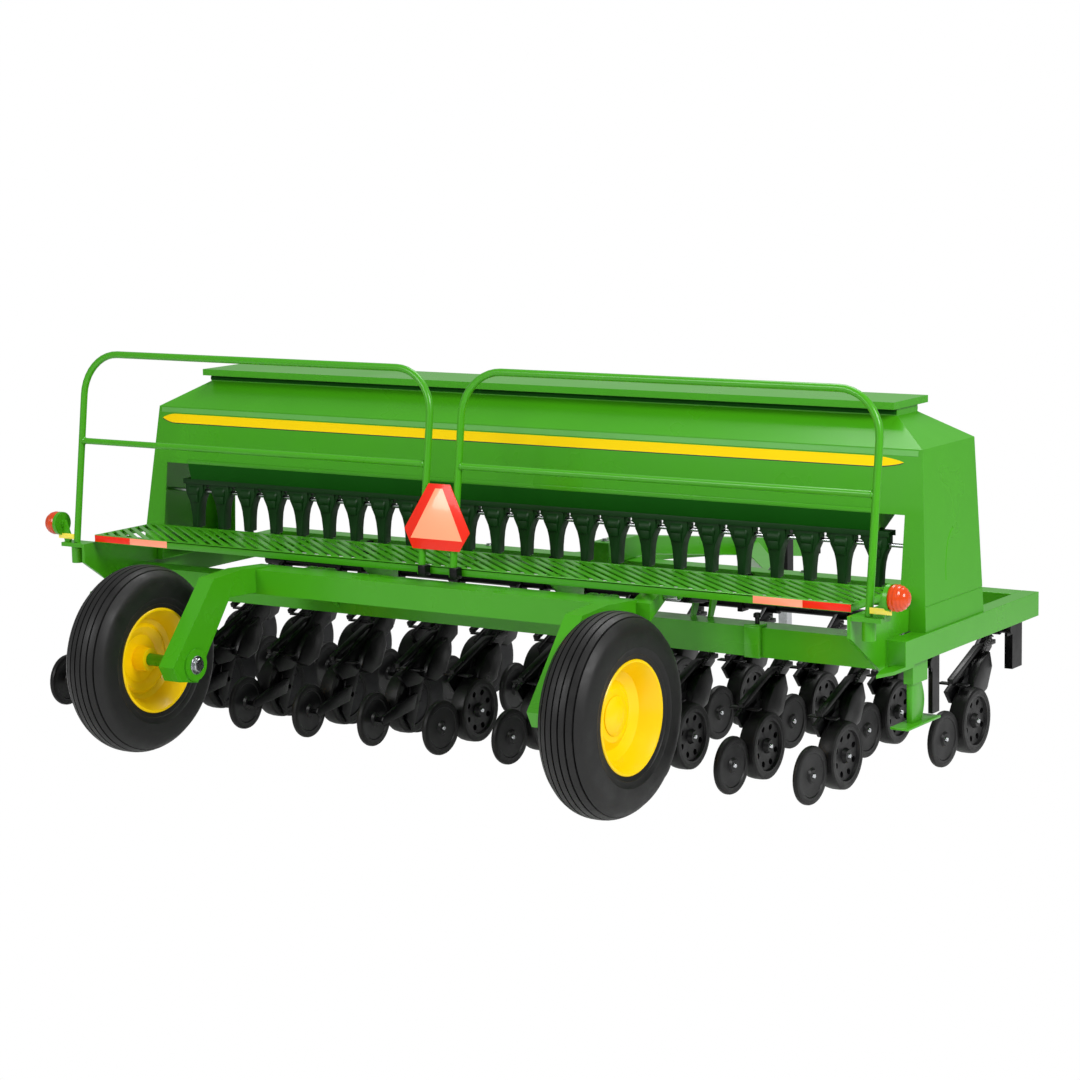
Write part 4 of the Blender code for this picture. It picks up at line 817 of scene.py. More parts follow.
# ---- Grain box --------------------------------------------------------------------------------
@dataclass
class GrainBox:
    """Hopper, neck, lid and end casings, with their beads, stripe and pressed lines."""

    edge: float = 0.004
    stripe_middle: float = 1.597
    stripe_height: float = 0.051
    stripe_ends: Pair = (-2.41, 2.345)
    stripe_tapers: Pair = (0.10, 0.18)
    taper_steps: int = 8
    stripe_shadow: float = 0.005
    stripe_lift: float = 0.0006
    crease: tuple[Pair, ...] = (
        (-0.520, 1.250), (-0.556, 1.228), (-0.588, 1.190), (-0.614, 1.140), (-0.634, 1.070), (-0.642, 1.000))
    fold_height: float = 0.034
    fold_reach: float = 2.42
    press_depth: float = 0.0032
    press_radius: float = 0.0075
    foot_line_z: float = 0.905
    foot_line_radius: float = 0.0045
    wall_foot: float = 1.342
    rear_foot: Pair = (-0.906, 0.781)
    rear_ridge: Pair = (-0.791, 1.663)
    end_x: Pair = (2.5155, 2.440)
    neck_beads: tuple[tuple[str, float, float], ...] = (
        ("rear", -0.6065, -0.5984), ("front", -0.3676, -0.3595))
    neck_bead_z: Pair = (1.806, 1.826)
    hem_z: float = 1.357

    def rear_y(self, z: float) -> float:
        """Y of the box's leaning rear face at a height."""
        (foot_y, foot_z), (ridge_y, ridge_z) = self.rear_foot, self.rear_ridge
        return foot_y + (ridge_y - foot_y) * (z - foot_z) / (ridge_z - foot_z)

    def band(self, name: str, lift: float, drop: float = 0.0) -> bpy.types.Object:
        """A stripe with pointed ends on the rear face.

        Args:
            name: The piece's name.
            lift: How far its face stands off the sheet.
            drop: How far it is moved down.

        Returns:
            The new piece.
        """
        half, middle = self.stripe_height / 2, self.stripe_middle - drop
        steps = self.taper_steps
        rounding = [half * math.sin(step / steps * math.pi / 2) ** 0.8 for step in range(steps + 1)]
        (left, right), (left_taper, right_taper) = self.stripe_ends, self.stripe_tapers
        ends = [(left + left_taper * step / steps, width) for step, width in enumerate(rounding)]
        ends += [(right - right_taper * step / steps, width)
                 for step, width in reversed(list(enumerate(rounding)))]
        outline = [(x, middle - width) for x, width in ends]
        outline += [(x, middle + width) for x, width in reversed(ends[1:-1])]
        piece = Bench.ring(name, [(x, self.rear_y(z) - lift, z) for x, z in outline])
        return Bench.edit(piece, lambda: bpy.ops.mesh.extrude_region_move(
            TRANSFORM_OT_translate={"value": (0, lift - 0.0001, 0)}))

    def stripe(self) -> None:
        """Lay the yellow stripe over a darker band set lower, whose edge shows as painted shadow under it."""
        under = self.band("stripe_edge", self.stripe_lift, self.stripe_shadow)
        Bench.dress(under, STRIPE_EDGE, ROOT, "green_paint")
        over = self.band("hopper_stripe", self.stripe_lift * 2)
        Bench.dress(over, STRIPE_VINYL, ROOT, "yellow_paint")

    def casing(self, side: Side) -> None:
        """An end casing with its curved pressed line and its foot line.

        Args:
            side: Which end.
        """
        node = f"end_casing_{side.word}"
        piece = Bench.skin(node, 0.0)
        low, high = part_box(node)
        outer = high.x if side is Side.RIGHT else -low.x
        foot_z, ridge_z = self.rear_foot[1], self.rear_ridge[1]
        lean = math.atan((self.end_x[0] - self.end_x[1]) / (ridge_z - foot_z))

        def groove(name: str, points: Sequence[Pair], radius: float) -> bpy.types.Object:
            """A shallow round-bottomed groove along (y, z) points on the outer face."""
            out = outer + radius - self.press_depth
            path = [(side.value * (out - math.tan(lean) * (z - foot_z)), y, z) for y, z in points]
            return Bench.pipe(name, path, radius, 1)

        foot = [(low.y - 0.02, self.foot_line_z), (high.y + 0.02, self.foot_line_z)]
        Bench.cut(piece, groove("press_line", self.crease, self.press_radius),
                  groove("foot_line", foot, self.foot_line_radius))
        Bench.soften(piece, self.edge)
        Bench.settle(piece)
        Bench.dress(piece, GREEN_ENAMEL, ROOT, "green_paint")

    def shell(self) -> None:
        """The hopper between the casings, with its painted fold highlight, its neck's two beads and its
        wall's hem.
        """
        piece = Bench.skin("hopper_shell", self.edge)
        Bench.dress(piece, GREEN_ENAMEL, ROOT, "green_paint")
        # Painted shade: faces below the wall's foot, except the end faces, take the dark green of the shade
        # under the box.
        piece.data.materials.append(SHADED_GREEN.build())
        for face in piece.data.polygons:
            face.material_index = int(face.center.z < self.wall_foot - 0.004 and abs(face.normal.x) < 0.9)
        low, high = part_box("hopper_shell")
        # A thin paler strip along the ridge: painted highlight where the fold catches the light.
        top, foot = self.rear_ridge[1] - 0.006, self.rear_ridge[1] - self.fold_height
        corners = ((foot, 0.0002, 0.0), (top, 0.0002, 0.0), (top, 0.0012, -0.001), (foot, 0.0012, 0.001))
        outline = [(self.rear_y(z) - out, z + rise) for z, out, rise in corners]
        fold = Bench.plate("ridge_fold", outline, Axis.X, -self.fold_reach, self.fold_reach)
        Bench.dress(fold, FOLD_HIGHLIGHT_GREEN, ROOT, "green_paint")
        # The neck's two beads take the dark green of painted shade.
        beads = [Bench.block(f"neck_bead_{word}", (low.x + 0.002, rear, self.neck_bead_z[0]),
                             (high.x - 0.002, front, self.neck_bead_z[1]), 0.003)
                 for word, rear, front in self.neck_beads]
        Bench.dress(Bench.join("neck_bead", *beads), SHADED_GREEN, ROOT, "green_paint")
        z = self.hem_z
        hem = Bench.block("wall_hem", (low.x + 0.001, self.rear_y(z) - 0.004, z - 0.012),
                          (high.x - 0.001, self.rear_y(z) - 0.0004, z + 0.008), 0.0015)
        Bench.dress(hem, GREEN_ENAMEL, ROOT, "green_paint")

    def lid(self) -> None:
        """The folded lid."""
        piece = Bench.skin("hopper_lid", 0.003)
        Bench.dress(piece, GREEN_ENAMEL, "lid", "green_paint")

    def build(self) -> None:
        """Make the whole box."""
        self.shell()
        for side in Side:
            self.casing(side)
        self.lid()
        self.stripe()


# ---- Seed cups --------------------------------------------------------------------------------
@dataclass
class SeedCups:
    """The carrier rail with its seed cups, each a flared body with a roll housing, gate and spout."""

    count: int = 24
    pitch: float = 0.1905
    y: float = -0.772
    shaft_z: float = 1.178
    top_z: float = 1.2497
    height: float = 0.285
    half_widths: tuple[Pair, ...] = (
        (0.000, 0.0660), (0.062, 0.0655), (0.082, 0.0620), (0.104, 0.0510), (0.128, 0.0400), (0.165, 0.0310),
        (0.215, 0.0250), (0.2830, 0.0215))
    arch_radius: float = 0.030
    arch_drop: float = 0.078
    window_radius: float = 0.0105
    window_drop: float = 0.036
    body_half: float = 0.034
    roll_profile: tuple[Pair, ...] = (
        (-0.036, 0), (-0.036, 0.030), (-0.030, 0.037), (0.030, 0.037), (0.036, 0.030), (0.036, 0))
    spout_profile: tuple[Pair, ...] = ((0, 0.011), (0, 0.017), (0.03, 0.019), (0.03, 0.011))
    rail_section: tuple[Pair, ...] = (
        (-0.040, 0), (-0.040, 0.028), (-0.034, 0.028), (-0.034, 0.006), (0.034, 0.006), (0.034, 0.028),
        (0.040, 0.028), (0.040, 0))

    def cup(self) -> bpy.types.Object:
        """Model one cup about X zero."""
        bottom = self.top_z - self.height
        sides = [(width, self.top_z - 0.004 - drop * 0.98) for drop, width in self.half_widths]
        outline = [(-x, z) for x, z in sides] + [(x, z) for x, z in reversed(sides)]
        body = Bench.plate("seed_cup", outline, Axis.Y, self.y - self.body_half, self.y + self.body_half,
                           0.006)
        roll = Bench.lathe("roll_housing", self.roll_profile, (0, self.y - 0.012, self.shaft_z), 20)
        gate = Bench.block("cup_gate", (-0.030, self.y - 0.044, self.shaft_z - 0.062),
                           (0.030, self.y - 0.0335, self.shaft_z - 0.018), 0.003)
        spout = Bench.lathe("cup_spout", self.spout_profile, (0, 0, 0), 16)
        spout.data.transform(Matrix.Translation((0, self.y, bottom + 0.012))
                             @ Matrix.Rotation(math.pi / 2, 4, "Y"))
        return Bench.join("seed_cup", body, roll, gate, spout)

    def web(self) -> bpy.types.Object:
        """Model the arched web between two cups about X zero, with its round window."""
        half, spring = self.pitch / 2 - 0.062, self.top_z - self.arch_drop
        arch = arc((0.0, spring), self.arch_radius, 180, 0, 10)
        top = self.top_z - 0.003
        outline = [(-half, top), (-half, spring), *arch, (half, spring), (half, top)]
        plate = Bench.plate("cup_web", outline, Axis.Y, self.y - 0.026, self.y - 0.018)
        window = self.top_z - self.window_drop
        drill = Bench.pin("drill", (0, self.y - 0.05, window), (0, self.y, window), self.window_radius, 14,
                          0.0)
        return Bench.soften(Bench.cut(plate, drill), 0.0015, 1)

    def build(self) -> None:
        """Make the row on its rail."""
        low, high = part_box("seed_cup_row")
        rail = Bench.plate("cup_rail", [(self.y + out, self.top_z - drop) for out, drop in self.rail_section],
                           Axis.X, low.x, high.x, 0.0015)
        first = self.cup()
        copies = [Bench.copy(first, f"seed_cup_{index:02d}", Matrix.Translation(
            ((index - (self.count - 1) / 2) * self.pitch, 0, 0))) for index in range(self.count)]
        web = self.web()
        copies += [Bench.copy(web, f"cup_web_{index:02d}", Matrix.Translation(
            ((index - self.count / 2 + 1) * self.pitch, 0, 0))) for index in range(self.count - 1)]
        bpy.data.objects.remove(first)
        bpy.data.objects.remove(web)
        row = Bench.join("seed_cups", rail, *copies)
        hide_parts("seed_cup_row")
        Bench.dress(row, CUP_IRON, ROOT, "black_paint")


# ---- Walkboard and guard rails ----------------------------------------------------------------
@dataclass
class Walkboard:
    """The board: a folded border, slanted treads with open slots between them, and marker tapes."""

    tread_pitch: float = 0.083
    tread_width: float = 0.046
    tread_skew: float = 0.56
    skew_run: float = 0.446
    tread_lap: float = 0.004
    border: float = 0.022
    sheet: float = 0.010
    flange: float = 0.042
    tape_height: float = 0.036
    tape_ends: tuple[float, float, float] = (1.856, 2.128, 2.388)
    strut_x: float = 0.600
    strut_half: float = 0.007
    strut_foot_y: Pair = (-1.144, -1.014)
    strut_foot_z: float = 0.7815
    rib_x: tuple[float, ...] = (-1.8, -1.2, 0.0, 1.2, 1.8)
    rib_half: float = 0.006
    end_width: float = 0.012

    def treads(self) -> bpy.types.Object:
        """The slanted treads, cut off at the ends of the board."""
        low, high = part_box("walkboard")
        front, rear = high.y - self.border + self.tread_lap, low.y + self.border - self.tread_lap
        run = front - rear
        skew = run * self.tread_skew / self.skew_run
        top, under = high.z - 0.0005, high.z - self.sheet * 0.8
        bars = []
        for index in range(int((high.x - low.x + skew) / self.tread_pitch)):
            x = low.x - skew + self.border + index * self.tread_pitch
            end = x + self.tread_width
            corners = [(x, front), (end, front), (end + skew, rear), (x + skew, rear)]
            bars.append(Bench.plate("tread", corners, Axis.Z, under, top))
        treads = Bench.join("treads", *bars)
        for end, keep_low in ((low.x + self.border * 0.5, True), (high.x - self.border * 0.5, False)):
            Bench.edit(treads, lambda: bpy.ops.mesh.bisect(
                plane_co=(end, 0, 0), plane_no=(1, 0, 0), use_fill=True, clear_inner=keep_low,
                clear_outer=not keep_low))
        return Bench.soften(treads, 0.002, 1)

    def edging(self, name: str, rear: float, front: float, out: int) -> bpy.types.Object:
        """A border strip with its flange folded down at the outer edge.

        Args:
            name: The strip's name.
            rear: Y of the strip's rear edge.
            front: Y of its front edge.
            out: -1 if the flange is at the rear edge and 1 if it is at the front.

        Returns:
            The strip.
        """
        low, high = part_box("walkboard")
        top, under, lip = high.z, high.z - self.sheet, high.z - self.flange
        edge = rear if out < 0 else front
        outline = [(rear, top), (front, top), (front, under), (rear, under)]
        strip = Bench.plate(name, outline, Axis.X, low.x, high.x, 0.002)
        inner, outer = sorted((edge, edge - out * 0.008))
        fold = [(inner, top - 0.001), (outer, top - 0.001), (outer, lip), (inner, lip)]
        return Bench.join(name, strip, Bench.plate(name, fold, Axis.X, low.x, high.x, 0.002))

    def build(self) -> None:
        """Make the board, its struts and its tapes."""
        low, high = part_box("walkboard")
        top, under, lip = high.z, high.z - self.sheet, high.z - self.flange
        rear = self.edging("rear_border", low.y, low.y + self.border, -1)
        front = self.edging("front_border", high.y - self.border, high.y, 1)
        ends = [Bench.block("end_border", (x, low.y + 0.002, lip + 0.004),
                            (x + self.end_width, high.y - 0.002, top - 0.0008), 0.002)
                for x in (low.x, high.x - self.end_width)]
        (foot_rear, foot_front), foot_z = self.strut_foot_y, self.strut_foot_z
        shape = [(foot_rear, foot_z), (foot_front, foot_z), (high.y - 0.034, under + 0.002),
                 (low.y + 0.064, under + 0.002)]
        struts = [Bench.plate("board_strut", shape, Axis.X, x - self.strut_half, x + self.strut_half, 0.002)
                  for x in (side.value * self.strut_x for side in Side)]
        struts += [Bench.block("board_rib", (x - self.rib_half, low.y + 0.006, lip + 0.01),
                               (x + self.rib_half, high.y - 0.006, under), 0.002) for x in self.rib_x]
        board = Bench.join("walkboard_grating", self.treads(), rear, front, *ends, *struts)
        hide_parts("walkboard")
        Bench.dress(board, GREEN_ENAMEL, ROOT, "green_paint")
        self.tapes(low.y, lip)

    def tapes(self, face: float, lip: float) -> None:
        """Stick the marker tapes on the rear flange.

        Args:
            face: Y of the flange's rear face.
            lip: Z of the flange's lower edge.
        """
        bottom = lip + (self.flange - self.tape_height) / 2
        inner, middle, outer = self.tape_ends
        for side in Side:
            for name, start, end, finish in (("pale_tape", inner, middle, PALE_FILM),
                                             ("red_tape", middle, outer, RED_FILM)):
                left, right = sorted((side.value * start, side.value * end))
                piece = Bench.block(f"{name}_{side.word}", (left + 0.0004, face - 0.0011, bottom),
                                    (right - 0.0004, face - 0.0002, bottom + self.tape_height), 0.0003)
                Bench.dress(piece, finish, ROOT, "signal_film")


@dataclass
class GuardRail:
    """A hoop of round tube with a middle bar, its welded joints and the clip on its inner foot."""

    side: Side
    radius: float = 0.0195
    bar_radius: float = 0.0175
    inner_x: float = 0.100
    outer_x: float = 2.497
    foot_y: float = -1.475
    foot_z: float = 0.955
    top_z: float = 2.032
    bar_z: float = 1.524
    bend: float = 0.230
    lean: float = math.radians(7.7)
    steps: int = 10
    weld_profile: tuple[Pair, ...] = ((-0.004, 0.0165), (0.0, 0.022), (0.004, 0.0165))
    clip_rise: float = 0.024

    def place(self, x: float, z: float) -> Point:
        """The point of the leaning hoop at a width and height."""
        return (x, self.foot_y + (z - self.foot_z) * math.tan(self.lean), z)

    def build(self) -> None:
        """Bend the hoop, set in the bar and add its welds and clip."""
        sign = self.side.value
        inner, outer = sign * self.inner_x, sign * self.outer_x
        high = self.top_z - self.radius - self.bend
        bend, steps = self.bend, self.steps
        rise = [(inner + sign * (bend + x), z) for x, z in arc((0, high), bend, 180, 90, steps)]
        fall = [(outer - sign * (bend - x), z) for x, z in arc((0, high), bend, 90, 0, steps)]
        path = [(inner, self.foot_z), *rise, *fall, (outer, self.foot_z)]
        hoop = Bench.pipe("hoop", [self.place(x, z) for x, z in path], self.radius, 4)
        ends = [self.place(inner, self.bar_z), self.place(outer, self.bar_z)]
        bar = Bench.pipe("middle_bar", ends, self.bar_radius, 4)
        welds = [Bench.lathe("weld_bead", self.weld_profile,
                             self.place(x + way * (self.radius + 0.001), self.bar_z), 20, 80)
                 for x, way in ((inner, sign), (outer, -sign))]
        board_low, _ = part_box("walkboard")
        clip_z = self.foot_z + self.clip_rise
        y = self.place(inner, clip_z)[1]
        clip = Bench.block(f"post_clip_{self.side.word}", (inner - 0.008, y - 0.0235, clip_z - 0.030),
                           (inner + 0.040, board_low.y - 0.0004, clip_z + 0.028), 0.004)
        Bench.dress(clip, BLACK_PAINT, ROOT, "black_paint")
        rail = Bench.join(f"guard_rail_{self.side.word}", hoop, bar, *welds)
        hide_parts(f"handrail_{self.side.word}")
        Bench.dress(rail, GREEN_ENAMEL, ROOT, "green_paint")


# ---- Lamps and sign ---------------------------------------------------------------------------
@dataclass
class MarkerLamp:
    """A round amber lens with moulded rings in a green dish, over its edge reflector."""

    side: Side
    radius: float = 0.066
    x: float = 2.645
    y: float = -1.476
    z: float = 1.055
    seat: float = 0.44
    rings: int = 14
    ripple: float = 0.0012
    dish: tuple[Pair, ...] = (
        (-0.018, 0.050), (-0.018, 0.0650), (0.004, 0.0655), (0.004, 0.0605), (-0.0004, 0.0605),
        (-0.0004, 0.050))
    reflector_x: Pair = (2.507, 2.623)
    reflector_y: Pair = (-0.0135, -0.0084)
    reflector_z: Pair = (0.972, 1.002)

    def build(self) -> None:
        """Turn the lens and its dish, and add the small reflector under them."""
        sign, word = self.side.value, self.side.word
        start = -self.radius * self.seat
        profile = [(start, 0.0)]
        for step in range(self.rings + 1):
            angle = math.acos(start / self.radius) * (1 - step / self.rings)
            ripple = self.ripple * math.cos(step * math.pi)
            radius = self.radius - self.ripple + (ripple if 1 < step < self.rings - 1 else 0.0)
            profile.append((radius * math.cos(angle), radius * math.sin(angle)))
        centre = (sign * self.x, self.y, self.z)
        lens = Bench.lathe(f"lamp_lens_{word}", [(sign * along, radius) for along, radius in profile], centre,
                           32, 20)
        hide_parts(f"marker_lamp_{word}")
        Bench.dress(lens, AMBER_LENS, ROOT, "amber_lens")
        dish = [(sign * (start + along), radius) for along, radius in self.dish]
        Bench.dress(Bench.lathe(f"lamp_ring_{word}", dish, centre, 32, 40), GREEN_ENAMEL, ROOT, "green_paint")
        left, right = sorted((sign * self.reflector_x[0], sign * self.reflector_x[1]))
        rear, front = self.y + self.reflector_y[0], self.y + self.reflector_y[1]
        bottom, top = self.reflector_z
        reflector = Bench.block(f"edge_reflector_{word}", (left, rear, bottom), (right, front, top), 0.0015)
        Bench.dress(reflector, YELLOW_FILM, ROOT, "signal_film")


@dataclass
class VehicleSign:
    """The truncated triangle: a red border plate with the fluorescent triangle set on it."""

    height: float = 0.342
    half_widths: tuple[Pair, ...] = ((0.0, 0.148), (0.100, 0.2075), (0.342, 0.0685))
    middle_half_widths: tuple[Pair, ...] = ((0.054, 0.163), (0.318, 0.023))
    thickness: float = 0.004
    lean: float = math.radians(7.7)

    def build(self) -> None:
        """Cut the plate and its middle, and lean them with the posts."""
        low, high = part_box("slow_vehicle_sign")

        def outline(rows: tuple[Pair, ...]) -> list[Pair]:
            """The corners on both sides, from half widths at heights."""
            return [(-half, z) for z, half in rows] + [(half, z) for z, half in reversed(rows)]

        plate = Bench.plate("sign_border", outline(self.half_widths), Axis.Y, -self.thickness, 0, 0.0012)
        middle = Bench.plate("sign_middle", outline(self.middle_half_widths), Axis.Y,
                             -self.thickness - 0.0009, -self.thickness - 0.0001, 0.0003)
        lean = Matrix.Translation((0, high.y, low.z)) @ Matrix.Rotation(-self.lean, 4, "X")
        turn = Matrix.Translation((0, -(self.height * math.sin(self.lean)), 0)) @ lean
        for piece in (plate, middle):
            piece.data.transform(turn)
        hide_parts("slow_vehicle_sign")
        Bench.dress(plate, RED_FILM, ROOT, "signal_film")
        Bench.dress(middle, FLUORESCENT_FILM, ROOT, "signal_film")


# ---- Transport wheels -------------------------------------------------------------------------
@dataclass
class TransportWheel:
    """A ribbed implement tyre on a pressed and dished disc wheel."""

    side: Side
    tyre_radius: float = 0.498
    tyre_width: float = 0.270
    rim_radius: float = 0.273
    ribs: int = 7
    groove: float = 0.012
    crown_drop: float = 0.052
    crown_power: float = 2.6
    tread_share: float = 0.92
    seat_share: float = 0.86
    hub_profile: tuple[Pair, ...] = (
        (-0.062, 0.034), (-0.062, 0.060), (-0.01, 0.066), (0.0118, 0.066), (0.0118, 0.034))
    cap_profile: tuple[Pair, ...] = (
        (0.0225, 0.0), (0.0225, 0.096), (0.026, 0.096), (0.037, 0.080), (0.047, 0.054), (0.052, 0.030),
        (0.053, 0.0))

    def crown(self, along: float) -> float:
        """The tread's radius at a distance from the tyre's middle."""
        half = self.tyre_width / 2 * self.tread_share
        return self.tyre_radius - self.crown_drop * abs(along / half) ** self.crown_power

    def tread(self) -> list[Pair]:
        """The tyre's section across the ribs, from one shoulder to the other."""
        half = self.tyre_width / 2 * self.tread_share
        pitch = 2 * half / self.ribs
        points: list[Pair] = []
        for rib in range(self.ribs):
            left = -half + rib * pitch
            shares = (0.10, 0.90) if rib in (0, self.ribs - 1) else (0.12, 0.5, 0.88)
            points += [(left + share * pitch, self.crown(left + share * pitch)) for share in shares]
            if rib < self.ribs - 1:
                edge = left + pitch
                floor = self.crown(edge) - self.groove
                points += [(edge - pitch * 0.07, floor), (edge + pitch * 0.07, floor)]
        return points

    def tyre(self, centre: Point) -> bpy.types.Object:
        """Turn the tyre.

        Args:
            centre: The wheel's centre.

        Returns:
            The tyre.
        """
        half, bead = self.tyre_width / 2, self.rim_radius + 0.001
        sides = ((0.955, 0.066), (0.985, 0.085), (0.997, 0.105), (0.999, 0.128))
        beads = ((0.985, 0.062), (0.955, 0.056), (0.93, 0.030), (0.90, 0.027), (0.86, 0.008), (0.80, 0.0))
        right = [(half * share, self.tyre_radius - drop) for share, drop in sides]
        right += [(half * share, bead + rise) for share, rise in beads]
        profile = self.tread() + right + [(-x, r) for x, r in reversed(right)]
        return Bench.lathe(f"ribbed_tyre_{self.side.word}", profile, centre, 96, 28)

    def rim(self, centre: Point) -> bpy.types.Object:
        """Turn the rim and disc, and add the hub.

        Args:
            centre: The wheel's centre.

        Returns:
            The wheel.
        """
        sign, half = self.side.value, self.tyre_width / 2 * self.seat_share
        edge = self.rim_radius + 0.006
        outer = [(half, edge), (half + 0.004, edge - 0.004), (half + 0.003, edge - 0.014),
                 (half - 0.012, edge - 0.024), (half - 0.030, edge - 0.034), (half * 0.40, edge - 0.052),
                 (0.020, edge - 0.062), (0.004, edge - 0.085), (-0.006, 0.170), (0.004, 0.145),
                 (0.018, 0.128), (0.022, 0.075), (0.022, 0.036)]
        inner = [(0.012, 0.036), (0.012, 0.075), (0.010, 0.125), (-0.004, 0.142), (-0.014, 0.170),
                 (-0.004, edge - 0.090), (-0.020, edge - 0.066), (-half * 0.5, edge - 0.052),
                 (-half + 0.030, edge - 0.036), (-half + 0.012, edge - 0.024), (-half - 0.003, edge - 0.014),
                 (-half - 0.004, edge - 0.004), (-half, edge), (-half + 0.006, edge - 0.003),
                 (-half + 0.020, edge - 0.014), (half - 0.020, edge - 0.014), (half - 0.006, edge - 0.003)]
        section = [(sign * along, radius) for along, radius in outer + inner]
        disc = Bench.lathe("disc", section, centre, 72, 25)
        hub = Bench.lathe("hub", [(sign * along, radius) for along, radius in self.hub_profile], centre, 32)
        return Bench.join(f"disc_wheel_{self.side.word}", disc, hub)

    def build(self) -> None:
        """Make the tyre, the wheel and the hub cap."""
        sign, word = self.side.value, self.side.word
        centre, body = tuple(JOINTS[f"{word}_wheel_spin"]["pos_m"]), f"{word}_wheel"
        tyre = self.tyre(centre)
        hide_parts(f"tyre_{word}")
        Bench.dress(tyre, TYRE_RUBBER, body, "tyre_rubber")
        rim = self.rim(centre)
        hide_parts(f"wheel_rim_{word}")
        Bench.dress(rim, YELLOW_ENAMEL, body, "yellow_paint")
        section = [(sign * along, radius) for along, radius in self.cap_profile]
        cap = Bench.lathe(f"hub_cap_{word}", section, centre, 28, 20)
        Bench.dress(cap, YELLOW_ENAMEL, body, "yellow_paint")


